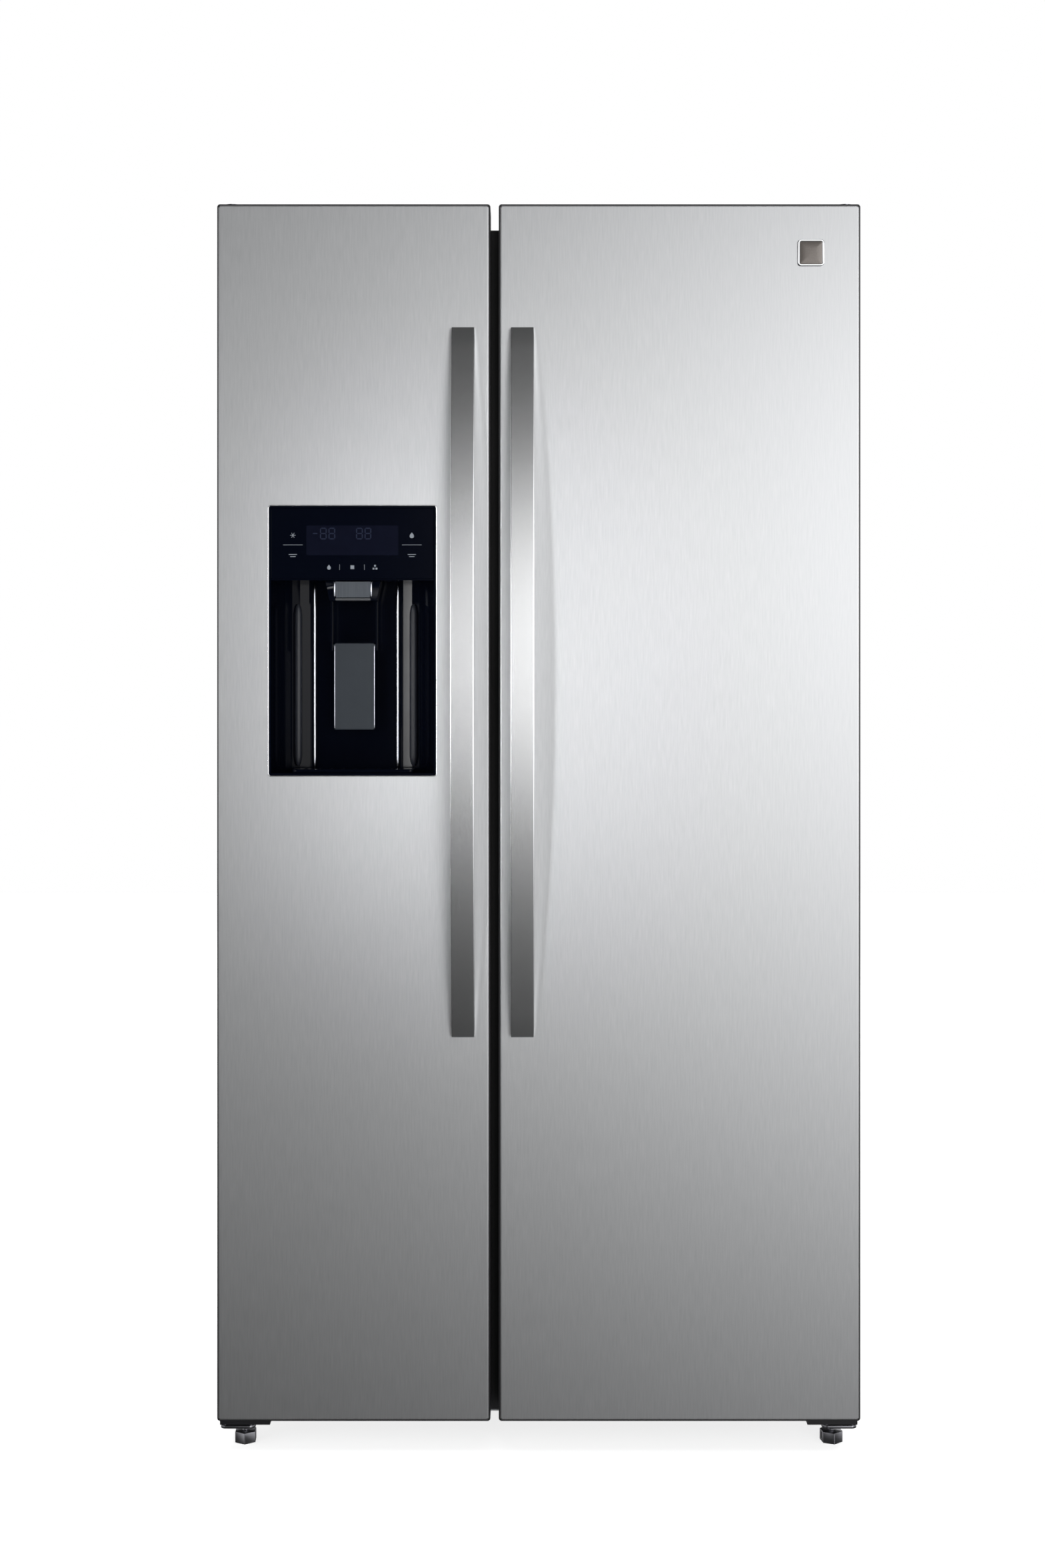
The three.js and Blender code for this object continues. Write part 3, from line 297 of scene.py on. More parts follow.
satin, tree, shader = start_material("satin_ground_stainless", "ebeced", 1.0, 0.24)
place = add_node(tree, "ShaderNodeTexCoord")
stretch = add_node(tree, "ShaderNodeMapping",
                   values={"Scale": (1 / (0.8 * mm), 1 / (0.8 * mm), 1 / (120 * mm))},
                   links={"Vector": place.outputs["Object"]})
grind = add_node(tree, "ShaderNodeTexNoise", values={"Scale": 1.0, "Detail": 4},
                 links={"Vector": stretch.outputs["Vector"]})
spread = add_node(tree, "ShaderNodeMapRange", values={"To Min": 0.18, "To Max": 0.3},
                  links={"Value": grind.outputs["Fac"]})
tree.links.new(spread.outputs["Result"], shader.inputs["Roughness"])
bump = add_node(tree, "ShaderNodeBump", values={"Strength": 0.04, "Distance": 0.02 * mm},
                links={"Height": grind.outputs["Fac"]})
tree.links.new(bump.outputs["Normal"], shader.inputs["Normal"])

bar_thick = 11 * mm
foot_length = 40 * mm
toe = 9 * mm
for door in ("freezer_door", "fridge_door"):
    low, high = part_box(f"{door}_handle")
    middle = (low.z + high.z) / 2
    half = (high.z - low.z) / 2
    reach = high.y - low.y
    rings = []
    for i in range(65):
        t = -1 + 2 * i / 64
        s = min(1, abs(t) * half / (half - foot_length))
        front = high.y - toe - (reach - toe) * (1 - t * t)
        back = high.y - (reach - bar_thick) * (1 - s * s)
        edge = 1.1 * mm * (0.4 if i in (0, 64) else 1)
        inset = 0.7 * mm if i in (0, 64) else 0
        section = rounded(low.x + inset, front + inset, high.x - inset, back, edge, 4, 0.5 * mm)
        rings.append([(x, y, middle + t * half) for x, y in section])
    bar = new_piece(f"{door}_handle_bar", loft(rings), satin, door)
    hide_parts(f"{door}_handle")


# ---- Dispenser ----
# Gloss black ABS mouldings: the recess housing, control panel, tray and chute. Their
# reflection is set far weaker than plain ABS has, so that the recess stays near black.
# The paddle and fans are satin slate, and the covers and rollers are spark textured.

gloss_black, tree, shader = start_material("polished_black_abs", "04060e", 0.0, 0.09)
shader.inputs["IOR"].default_value = 1.54
shader.inputs["Specular IOR Level"].default_value = 0.06
place = add_node(tree, "ShaderNodeTexCoord")
haze = add_node(tree, "ShaderNodeTexNoise", values={"Scale": 1 / (40 * mm), "Detail": 6},
                links={"Vector": place.outputs["Object"]})
spread = add_node(tree, "ShaderNodeMapRange", values={"To Min": 0.05, "To Max": 0.15},
                  links={"Value": haze.outputs["Fac"]})
tree.links.new(spread.outputs["Result"], shader.inputs["Roughness"])
dress("dispenser_housing", gloss_black)
dress("control_panel", gloss_black)

dark_moulded, tree, shader = start_material("textured_dark_grey_abs", "3a3c3f", 0.0, 0.5)
place = add_node(tree, "ShaderNodeTexCoord")
spark = add_node(tree, "ShaderNodeTexNoise", values={"Scale": 1 / (0.9 * mm), "Detail": 2},
                 links={"Vector": place.outputs["Object"]})
bump = add_node(tree, "ShaderNodeBump", values={"Strength": 0.2, "Distance": 0.06 * mm},
                links={"Height": spark.outputs["Fac"]})
tree.links.new(bump.outputs["Normal"], shader.inputs["Normal"])
dress("machine_cover", dark_moulded)
dress("drip_tray", gloss_black, 0.5 * mm)
for side in ("left", "right"):
    dress(f"hinge_cover_{side}", dark_moulded, 1.0 * mm)
    dress(f"rear_roller_{side}", dark_moulded, 0.8 * mm)

slate, tree, shader = start_material("satin_slate_abs", "1e242b", 0.0, 0.42)
shader.inputs["Specular IOR Level"].default_value = 0.35
place = add_node(tree, "ShaderNodeTexCoord")
cloud = add_node(tree, "ShaderNodeTexNoise", values={"Scale": 1 / (30 * mm), "Detail": 4},
                 links={"Vector": place.outputs["Object"]})
tint = add_node(tree, "ShaderNodeMix", {"data_type": "RGBA"},
                {"A": linear("1b2128"), "B": linear("232930")}, {"Factor": cloud.outputs["Fac"]})
tree.links.new(tint.outputs["Result"], shader.inputs["Base Color"])
dress("dispenser_paddle", slate)
dress("dispenser_chute", gloss_black, 0.6 * mm)
for node in ("evaporator_fan", "condenser_fan"):
    dress(node, slate, 0.5 * mm)


# ---- Machine room and evaporator ----
# The compressor and its condenser are dipped in black baked enamel. The evaporator is
# bare rolled aluminium.

enamel, tree, shader = start_material("black_baked_enamel", "121214", 0.0, 0.3)
place = add_node(tree, "ShaderNodeTexCoord")
peel = add_node(tree, "ShaderNodeTexNoise", values={"Scale": 1 / (4 * mm), "Detail": 2},
                links={"Vector": place.outputs["Object"]})
bump = add_node(tree, "ShaderNodeBump", values={"Strength": 0.15, "Distance": 0.1 * mm},
                links={"Height": peel.outputs["Fac"]})
tree.links.new(bump.outputs["Normal"], shader.inputs["Normal"])
dress("compressor", enamel)
dress("condenser", enamel)

rolled, tree, shader = start_material("rolled_aluminium", "c3c6c9", 1.0, 0.35)
place = add_node(tree, "ShaderNodeTexCoord")
roll = add_node(tree, "ShaderNodeTexNoise", values={"Scale": 1 / (5 * mm), "Detail": 4},
                links={"Vector": place.outputs["Object"]})
spread = add_node(tree, "ShaderNodeMapRange", values={"To Min": 0.28, "To Max": 0.45},
                  links={"Value": roll.outputs["Fac"]})
tree.links.new(spread.outputs["Result"], shader.inputs["Roughness"])
dress("evaporator", rolled)
dress("ice_auger", rolled)


# ---- Seals ----
# Soft grey PVC bellows with a magnet strip inside, pushed into a groove of the liner.

vinyl, tree, shader = start_material("extruded_grey_vinyl", "77787b", 0.0, 0.62)
place = add_node(tree, "ShaderNodeTexCoord")
cloud = add_node(tree, "ShaderNodeTexNoise", values={"Scale": 1 / (25 * mm), "Detail": 3},
                 links={"Vector": place.outputs["Object"]})
tint = add_node(tree, "ShaderNodeMix", {"data_type": "RGBA"},
                {"A": linear("6c6d70"), "B": linear("828386")}, {"Factor": cloud.outputs["Fac"]})
tree.links.new(tint.outputs["Result"], shader.inputs["Base Color"])

for door in ("freezer_door", "fridge_door"):
    low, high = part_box(f"{door}_gasket")
    folds = [(0, 0.0), (0, 0.35), (1.2, 0.5), (0, 0.65), (0, 1.0),
             (14, 1.0), (14, 0.65), (12.8, 0.5), (14, 0.35), (14, 0.0)]
    rings = []
    for into, depth in folds:
        inset = into * mm
        y = low.y + depth * (high.y - low.y)
        outline = rounded(low.x + inset, low.z + inset, high.x - inset, high.z - inset, 16 * mm - inset)
        rings.append([(x, y, z) for x, z in outline])
    seal = new_piece(f"{door}_bellows_seal", loft(rings, closed=True), vinyl, door, 60)
    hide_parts(f"{door}_gasket")


# ---- Clear bins, drawers and ice bucket ----
# General purpose polystyrene, injection moulded and clear with a cool tint. The walls
# lean outwards so that they leave the tool, and a rolled lip stiffens the rim.

clear, tree, shader = start_material("clear_moulded_styrene", "dbe8ee", 0.0, 0.06)
shader.inputs["IOR"].default_value = 1.59
shader.inputs["Transmission Weight"].default_value = 0.86
place = add_node(tree, "ShaderNodeTexCoord")
flow = add_node(tree, "ShaderNodeTexNoise", values={"Scale": 1 / (60 * mm), "Detail": 3},
                links={"Vector": place.outputs["Object"]})
spread = add_node(tree, "ShaderNodeMapRange", values={"To Min": 0.04, "To Max": 0.12},
                  links={"Value": flow.outputs["Fac"]})
tree.links.new(spread.outputs["Result"], shader.inputs["Roughness"])
tint = add_node(tree, "ShaderNodeMix", {"data_type": "RGBA"},
                {"A": linear("d3e2ea"), "B": linear("e6f0f4")}, {"Factor": flow.outputs["Fac"]})
tree.links.new(tint.outputs["Result"], shader.inputs["Base Color"])


def moulded_tub(low, high, wall, draft, radius, lip):
    """Tub with a leaning wall, round corners and a lip around its rim."""
    depth = high.z - low.z
    profile = [(draft, 0), (draft * 0.98, 0.02), (lip, 1 - 8 * mm / depth),
               (0, 1 - 7 * mm / depth), (0, 1), (wall + lip, 1),
               (wall + lip * 1.2, 0.96), (wall + draft, wall / depth)]
    rings = []
    for inset, share in profile:
        outline = rounded(low.x + inset, low.y + inset, high.x - inset, high.y - inset,
                          max(radius - inset, 2 * mm), 6)
        rings.append([(x, y, low.z + share * depth) for x, y in outline])
    return loft(rings)


grip_deep = 12 * mm
tubs = {
    "freezer_drawer_1": "upper_freezer_drawer",
    "freezer_drawer_2": "lower_freezer_drawer",
    "crisper_1": "upper_crisper",
    "crisper_2": "lower_crisper",
}
for node, body in tubs.items():
    low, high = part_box(node)
    front = low.y
    low.y += grip_deep
    tub = new_piece(f"{node}_tub", moulded_tub(low, high, 3 * mm, 6 * mm, 14 * mm, 2 * mm),
                    clear, body)
    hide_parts(node)
    outline = rounded(front, high.z - 34 * mm, front + 13.5 * mm, high.z, 4 * mm)
    ends = (low.x + 1 * mm, high.x - 1 * mm)
    grip = loft([[(x, y, z) for y, z in outline] for x in ends])
    new_piece(f"{node}_front_grip", grip, abs_white, body)

for door in ("freezer_door", "fridge_door"):
    for i in (1, 2):
        node = f"{door}_bin_{i}"
        low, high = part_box(node)
        tub = new_piece(f"{node}_tub", moulded_tub(low, high, 2.5 * mm, 4 * mm, 18 * mm, 1.5 * mm),
                        clear, door)
        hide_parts(node)

low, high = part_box("ice_bucket")
tub = new_piece("ice_bucket_tub", moulded_tub(low, high, 3 * mm, 5 * mm, 16 * mm, 2 * mm),
                clear, "cabinet")
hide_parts("ice_bucket")
dress("dairy_box", clear)
dress("dairy_cover", clear)


# ---- Shelves ----
# A sheet of tempered glass with a faint green tint, in a white trim moulded round the
# front and back edges so that a spill stays on the shelf.

glass, tree, shader = start_material("tempered_float_glass", "dff0ea", 0.0, 0.02)
shader.inputs["IOR"].default_value = 1.52
shader.inputs["Transmission Weight"].default_value = 0.95
place = add_node(tree, "ShaderNodeTexCoord")
smear = add_node(tree, "ShaderNodeTexNoise", values={"Scale": 1 / (80 * mm), "Detail": 5},
                 links={"Vector": place.outputs["Object"]})
spread = add_node(tree, "ShaderNodeMapRange", values={"To Min": 0.01, "To Max": 0.07},
                  links={"Value": smear.outputs["Fac"]})
tree.links.new(spread.outputs["Result"], shader.inputs["Roughness"])

for node in ("freezer_shelf", "fridge_shelf_1", "fridge_shelf_2", "crisper_cover"):
    low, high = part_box(node)
    trim = 14 * mm
    outline = rounded(low.y, low.z, low.y + trim, high.z, 3 * mm)
    ends = (low.x, high.x)
    new_piece(f"{node}_front_trim", loft([[(x, y, z) for y, z in outline] for x in ends]),
              abs_white, "cabinet")
    under = low.z + 7 * mm
    outline = rounded(low.y + trim + 0.2 * mm, under + 0.4 * mm,
                      high.y - 10 * mm, under + 4.4 * mm, 0.8 * mm)
    sheet = new_piece(f"{node}_glass", loft([[(x, y, z) for y, z in outline] for x in ends]),
                      glass, "cabinet")
    outline = rounded(high.y - 9.8 * mm, under, high.y, under + 5 * mm, 1.5 * mm)
    new_piece(f"{node}_back_trim", loft([[(x, y, z) for y, z in outline] for x in ends]),
              abs_white, "cabinet")
    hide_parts(node)


# ---- Badge ----
# A small domed plate: a die cast rim with bright chrome on it around a smoked field.

chrome, tree, shader = start_material("bright_chrome_plate", "d6d8db", 1.0, 0.08)
place = add_node(tree, "ShaderNodeTexCoord")
haze = add_node(tree, "ShaderNodeTexNoise", values={"Scale": 1 / (10 * mm), "Detail": 4},
                links={"Vector": place.outputs["Object"]})
spread = add_node(tree, "ShaderNodeMapRange", values={"To Min": 0.05, "To Max": 0.14},
                  links={"Value": haze.outputs["Fac"]})
tree.links.new(spread.outputs["Result"], shader.inputs["Roughness"])

smoked, tree, shader = start_material("smoked_lacquer", "57524e", 0.4, 0.25)
place = add_node(tree, "ShaderNodeTexCoord")
flake = add_node(tree, "ShaderNodeTexNoise", values={"Scale": 1 / (1.2 * mm), "Detail": 3},
                 links={"Vector": place.outputs["Object"]})
tint = add_node(tree, "ShaderNodeMix", {"data_type": "RGBA"},
                {"A": linear("4b4643"), "B": linear("69635e")}, {"Factor": flake.outputs["Fac"]})
tree.links.new(tint.outputs["Result"], shader.inputs["Base Color"])

low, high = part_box("badge")
rim = [(0, 1.0), (0, 0.25), (0.8, 0.0), (2.0, 0.0), (2.8, 0.3), (2.8, 1.0)]
rings = []
for into, depth in rim:
    inset = into * mm
    outline = rounded(low.x + inset, low.z + inset, high.x - inset, high.z - inset, 5 * mm - inset, 6)
    rings.append([(x, low.y + depth * (high.y - low.y), z) for x, z in outline])
frame_rim = new_piece("badge_rim", loft(rings, closed=True), chrome, "fridge_door")
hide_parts("badge")
rings = []
for into, depth in [(2.9, 1.0), (2.9, 0.4), (6, 0.22), (12, 0.12)]:
    inset = into * mm
    outline = rounded(low.x + inset, low.z + inset, high.x - inset, high.z - inset, 2 * mm, 4)
    rings.append([(x, low.y + depth * (high.y - low.y), z) for x, z in outline])
new_piece("badge_field", loft(rings), smoked, "fridge_door")


# ---- Dispenser trim and control panel ----
# A thin bright strip closes the joint between the steel and the black housing. The
# display is a smoked film on the panel with unlit segments, and the marks are pale ink.
# Both reflect less than plain plastic, to match the panel around them.

low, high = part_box("dispenser_housing")
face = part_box("freezer_door_skin")[0].y
strip = [(-0.2, 0.0), (-0.2, 0.7), (-0.5, 0.9), (-1.2, 0.9), (-1.5, 0.7), (-1.5, 0.0)]
rings = []
for into, out in strip:
    inset = into * mm
    outline = rounded(low.x + inset, low.z + inset, high.x - inset, high.z - inset, 3 * mm - inset, 6)
    rings.append([(x, face - (out + 0.02) * mm, z) for x, z in outline])
new_piece("dispenser_trim_strip", loft(rings, closed=True), satin, "freezer_door")

navy, tree, shader = start_material("smoked_display_window", "0b0d18", 0.0, 0.07)
shader.inputs["Specular IOR Level"].default_value = 0.08
place = add_node(tree, "ShaderNodeTexCoord")
haze = add_node(tree, "ShaderNodeTexNoise", values={"Scale": 1 / (20 * mm), "Detail": 4},
                links={"Vector": place.outputs["Object"]})
tint = add_node(tree, "ShaderNodeMix", {"data_type": "RGBA"},
                {"A": linear("090b15"), "B": linear("0d101c")}, {"Factor": haze.outputs["Fac"]})
tree.links.new(tint.outputs["Result"], shader.inputs["Base Color"])

ink, tree, shader = start_material("pale_printed_ink", "70757d", 0.0, 0.4)
place = add_node(tree, "ShaderNodeTexCoord")
speck = add_node(tree, "ShaderNodeTexNoise", values={"Scale": 1 / (0.5 * mm), "Detail": 2},
                 links={"Vector": place.outputs["Object"]})
tint = add_node(tree, "ShaderNodeMix", {"data_type": "RGBA"},
                {"A": linear("666b73"), "B": linear("7a8088")}, {"Factor": speck.outputs["Fac"]})
tree.links.new(tint.outputs["Result"], shader.inputs["Base Color"])

unlit, tree, shader = start_material("unlit_display_segments", "1b2030", 0.0, 0.3)
shader.inputs["Specular IOR Level"].default_value = 0.08
place = add_node(tree, "ShaderNodeTexCoord")
speck = add_node(tree, "ShaderNodeTexNoise", values={"Scale": 1 / (2 * mm), "Detail": 2},
                 links={"Vector": place.outputs["Object"]})
spread = add_node(tree, "ShaderNodeMapRange", values={"To Min": 0.22, "To Max": 0.38},
                  links={"Value": speck.outputs["Fac"]})
tree.links.new(spread.outputs["Result"], shader.inputs["Roughness"])

low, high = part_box("control_panel")
panel_face = low.y
panel_mid = (low.x + high.x) / 2
panel_top = high.z
window_wide = 130 * mm
window_tall = 42 * mm
window_top = panel_top - 24 * mm
outline = rounded(panel_mid - window_wide / 2, window_top - window_tall,
                  panel_mid + window_wide / 2, window_top, 2 * mm)
rings = [[(x, panel_face - out * mm, z) for x, z in outline] for out in (0.02, 0.16)]
new_piece("display_window", loft(rings), navy, "freezer_door")


def prisms(outlines, back, front):
    mesh = bmesh.new()
    for outline in outlines:
        rows = [[mesh.verts.new((x, y, z)) for x, z in outline] for y in (back, front)]
        mesh.faces.new(rows[0])
        mesh.faces.new(rows[1])
        for i in range(len(outline)):
            j = (i + 1) % len(outline)
            mesh.faces.new((rows[0][i], rows[0][j], rows[1][j], rows[1][i]))
    return mesh


def bar(x0, z0, x1, z1, wide):
    """A straight stroke with pointed ends, as a display segment has."""
    length = math.hypot(x1 - x0, z1 - z0)
    u, w = (x1 - x0) / length, (z1 - z0) / length
    h = wide / 2
    along = [(0, 0), (h, -h), (length - h, -h), (length, 0), (length - h, h), (h, h)]
    return [(x0 + a * u - b * w, z0 + a * w + b * u) for a, b in along]


digit_wide = 8 * mm
digit_tall = 15 * mm
stroke = 1.6 * mm
digits_z = window_top - 4 * mm - digit_tall
segments = []
for x in (-45, -33, 6, 18):
    x0 = panel_mid + x * mm
    x1 = x0 + digit_wide
    levels = (digits_z, digits_z + digit_tall / 2, digits_z + digit_tall)
    gap = 0.4 * mm
    for z in levels:
        segments.append(bar(x0 + gap, z, x1 - gap, z, stroke))
    for below, above in zip(levels, levels[1:]):
        segments.append(bar(x0, below + gap, x0, above - gap, stroke))
        segments.append(bar(x1, below + gap, x1, above - gap, stroke))
segments.append(bar(panel_mid - 56 * mm, levels[1], panel_mid - 49 * mm, levels[1], stroke))
new_piece("display_segments", prisms(segments, panel_face - 0.18 * mm, panel_face - 0.24 * mm), unlit,
          "freezer_door")


def spokes(x, z, size, count):
    arms = []
    for i in range(count):
        angle = math.pi * i / count
        u, w = size * math.cos(angle), size * math.sin(angle)
        arms.append(bar(x - u, z - w, x + u, z + w, 0.7 * mm))
    return arms


def drop(x, z, size):
    return [(x + size * math.sin(a) * math.sin(a / 2), z + size * math.cos(a))
            for a in [2 * math.pi * i / 20 for i in range(20)]]


def square(x, z, size):
    return [(x - size, z - size), (x + size, z - size), (x + size, z + size), (x - size, z + size)]


side_in = 84 * mm
upper = window_top - 14 * mm
lower = window_top - 41 * mm
rule = (upper + lower) / 2
marks = []
for side in (-1, 1):
    x = panel_mid + side * side_in
    marks.append(bar(x - 14 * mm, rule, x + 14 * mm, rule, 0.6 * mm))
    marks.append(bar(x - 6 * mm, lower, x + 6 * mm, lower, 1.0 * mm))
    marks.append(bar(x - 4 * mm, lower - 3 * mm, x + 4 * mm, lower - 3 * mm, 1.0 * mm))
marks.append(drop(panel_mid + side_in, upper, 4 * mm))
row = panel_top - 83 * mm
marks.append(drop(panel_mid - 33 * mm, row, 3.4 * mm))
marks.append(square(panel_mid, row, 2.6 * mm))
for x, z in ((30, -2), (34, -2), (32, 2)):
    marks.append(square(panel_mid + x * mm, row + z * mm, 1.3 * mm))
for x in (-18, 17):
    marks.append(bar(panel_mid + x * mm, row - 4 * mm, panel_mid + x * mm, row + 4 * mm, 0.5 * mm))
new_piece("panel_marks", prisms(marks, panel_face - 0.02 * mm, panel_face - 0.1 * mm), ink,
          "freezer_door")
for i, arm in enumerate(spokes(panel_mid - side_in, upper, 4 * mm, 3)):
    proud = panel_face - (0.1 + 0.02 * i) * mm
    new_piece(f"cold_mark_arm_{i + 1}", prisms([arm], panel_face - 0.02 * mm, proud),
              ink, "freezer_door")


# ---- Spout face ----
# A plate of dark brushed aluminium pressed on the front of the chute, its grain drawn
# coarser than it is, and the lip of the ice funnel under it.

dark_brushed, tree, shader = start_material("dark_brushed_aluminium", "45484d", 1.0, 0.34)
shader.inputs["Anisotropic"].default_value = 0.5
place = add_node(tree, "ShaderNodeTexCoord")
stretch = add_node(tree, "ShaderNodeMapping",
                   values={"Scale": (1 / (0.7 * mm), 1 / (0.7 * mm), 1 / (40 * mm))},
                   links={"Vector": place.outputs["Object"]})
grain = add_node(tree, "ShaderNodeTexNoise", values={"Scale": 1.0, "Detail": 4},
                 links={"Vector": stretch.outputs["Vector"]})
tint = add_node(tree, "ShaderNodeMix", {"data_type": "RGBA"},
                {"A": linear("383b40"), "B": linear("54585d")}, {"Factor": grain.outputs["Fac"]})
tree.links.new(tint.outputs["Result"], shader.inputs["Base Color"])
low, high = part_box("dispenser_chute")
spout_mid = (low.x + high.x) / 2
plate = []
for inset, out in ((0, 0.05), (0, 0.9), (0.5, 1.3)):
    half_top = (28 - inset) * mm
    half_low = (24 - inset) * mm
    z1 = high.z - (0.6 + inset) * mm
    z0 = high.z - (24 - inset) * mm
    plate.append([(x, low.y - out * mm, z) for x, z in (
        (spout_mid - half_top, z1), (spout_mid + half_top, z1),
        (spout_mid + half_low, z0), (spout_mid - half_low, z0))])
new_piece("spout_face", loft(plate), dark_brushed, "freezer_door")
lip = []
for inset, out in ((0, 0.05), (0, 1.6), (0.6, 2.2)):
    lip.append([(x, low.y - out * mm, z) for x, z in rounded(
        spout_mid - (25 - inset) * mm, high.z - (28 - inset) * mm,
        spout_mid + (25 - inset) * mm, high.z - (24.4 + inset) * mm, 1.2 * mm)])
new_piece("spout_lip", loft(lip), dark_moulded, "freezer_door")


# ---- Ribs of the recess ----
# Thin bright beads edge the recess, the paddle and the spout, drawn as metallised ABS
# pressed on. They are painted highlights, put where the rounded edges of the gloss black
# mouldings catch the light. Two wider satin black bands stand beside them in the recess,
# lighter than the gloss black around them: painted reflection bands on the recess walls.

# A bright metal finish that stands in for painted highlights on rounded edges.
highlight_bead, tree, shader = start_material("metallised_abs_painted_highlight", "c9ccd6", 1.0, 0.2)
place = add_node(tree, "ShaderNodeTexCoord")
haze = add_node(tree, "ShaderNodeTexNoise", values={"Scale": 1 / (12 * mm), "Detail": 3},
                links={"Vector": place.outputs["Object"]})
spread = add_node(tree, "ShaderNodeMapRange", values={"To Min": 0.16, "To Max": 0.26},
                  links={"Value": haze.outputs["Fac"]})
tree.links.new(spread.outputs["Result"], shader.inputs["Roughness"])
# A satin black lighter than the gloss black, standing in for painted reflection bands.
reflection_band, tree, shader = start_material("satin_black_abs_painted_reflection", "1b1d24", 0.0, 0.45)
place = add_node(tree, "ShaderNodeTexCoord")
haze = add_node(tree, "ShaderNodeTexNoise", values={"Scale": 1 / (25 * mm), "Detail": 4},
                links={"Vector": place.outputs["Object"]})
tint = add_node(tree, "ShaderNodeMix", {"data_type": "RGBA"},
                {"A": linear("171920"), "B": linear("20232b")}, {"Factor": haze.outputs["Fac"]})
tree.links.new(tint.outputs["Result"], shader.inputs["Base Color"])

recess_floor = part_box("drip_tray")[1].z
recess_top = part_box("control_panel")[0].z


def rib(name, x, wide, z0, z1, y, material, body="freezer_door"):
    """A tall rib with a round crest and ends that run out into the wall."""
    rings = []
    for t in (0, 0.012, 0.03, 0.06, 0.94, 0.97, 0.988, 1):
        swell = min(1, min(t, 1 - t) / 0.06) ** 0.5
        half = wide / 2 * (0.3 + 0.7 * swell)
        z = z0 + t * (z1 - z0)
        section = [(x + half * math.cos(a), y - half * math.sin(a)) for a in
                   [math.pi * i / 10 for i in range(11)]]
        section += [(x - half, y + 2 * mm), (x + half, y + 2 * mm)]
        rings.append([(u, v, z) for u, v in section])
    return new_piece(name, loft(rings), material, body)


recess_deep = 69 * mm
recess_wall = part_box("freezer_door_skin")[0].y + recess_deep
pad_low, pad_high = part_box("dispenser_paddle")
chute_low, chute_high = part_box("dispenser_chute")
# Each rib below is a painted highlight bead or a painted reflection band.
for side, label in ((-1, "left"), (1, "right")):
    rib(f"recess_highlight_rib_{label}", panel_mid + side * 60 * mm, 4.4 * mm, recess_floor, recess_top - 6 * mm,
        recess_wall - 4 * mm, highlight_bead)
    rib(f"recess_reflection_band_{label}", panel_mid + side * 83 * mm, 11 * mm, recess_floor + 3 * mm,
        recess_top - 34 * mm, recess_wall - 12 * mm, reflection_band)
    rib(f"paddle_highlight_edge_{label}", panel_mid + side * 28.4 * mm, 1.1 * mm, pad_low.z + 2 * mm,
        pad_high.z - 2 * mm, pad_low.y + 0.4 * mm, highlight_bead, "paddle")
    rib(f"spout_highlight_edge_{label}", spout_mid + side * 26 * mm, 2.4 * mm, chute_high.z - 23 * mm,
        chute_high.z - 1 * mm, chute_low.y - 1.2 * mm, highlight_bead)


# ---- Fasteners and feet ----
# Zinc plated steel: rivets hold the lower hinges and pan head screws the upper ones,
# drawn with a round dimple. Each levelling foot screws up and down on a rolled thread.

def turned(profile, sides=24):
    """Rings around the Z axis from (radius, height) pairs."""
    rings = []
    for radius, z in profile:
        rings.append([(radius * math.cos(a), radius * math.sin(a), z)
                      for a in [2 * math.pi * i / sides for i in range(sides)]])
    return loft(rings)


def pan_heads(name, spots, radius, facing, body):
    """Screw heads at `spots`, all facing one way, in one piece."""
    whole = bmesh.new()
    turn = Vector(facing).to_track_quat("Z", "Y").to_matrix().to_4x4()
    for spot in spots:
        tall = 0.66 * radius
        head = turned([(radius, 0), (radius, 0.53 * tall), (0.75 * radius, 0.91 * tall),
                       (0.3 * radius, tall), (0.28 * radius, 0.6 * tall)], 20)
        head.transform(Matrix.Translation(spot) @ turn)
        data = bpy.data.meshes.new("head")
        head.to_mesh(data)
        head.free()
        whole.from_mesh(data)
        bpy.data.meshes.remove(data)
    return new_piece(name, whole, plated, body)


for side in ("left", "right"):
    low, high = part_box(f"levelling_foot_{side}")
    centre = (low + high) / 2
    thread = []
    z = 16.4 * mm
    while z < 33 * mm:
        thread += [(4.05 * mm, z), (4.35 * mm, z + 0.5 * mm), (4.05 * mm, z + 1.0 * mm)]
        z += 1.25 * mm
    stud = turned(thread, 20)
    stud.transform(Matrix.Translation((centre.x, centre.y, 0)))
    new_piece(f"foot_thread_{side}", stud, plated, f"{side}_foot")
    low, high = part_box(f"lower_hinge_{side}")
    plate_top = 37.72 * mm
    spots = [(low.x + 6 * mm, low.y + 6 * mm, plate_top), (high.x - 6 * mm, low.y + 6 * mm, plate_top)]
    pan_heads(f"hinge_rivets_{side}", spots, 3.2 * mm, (0, 0, 1), "cabinet")
    low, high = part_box(f"top_hinge_{side}")
    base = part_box("cabinet_shell")[1].z
    spots = [((low.x + high.x) / 2, high.y - 10 * mm - i * 26 * mm, base + 3 * mm) for i in (0, 1)]
    pan_heads(f"top_hinge_screws_{side}", spots, 4 * mm, (0, 0, 1), "cabinet")


# ---- Lamps ----
# A frosted acrylic lens over a strip of lamps, clipped in each compartment's ceiling.

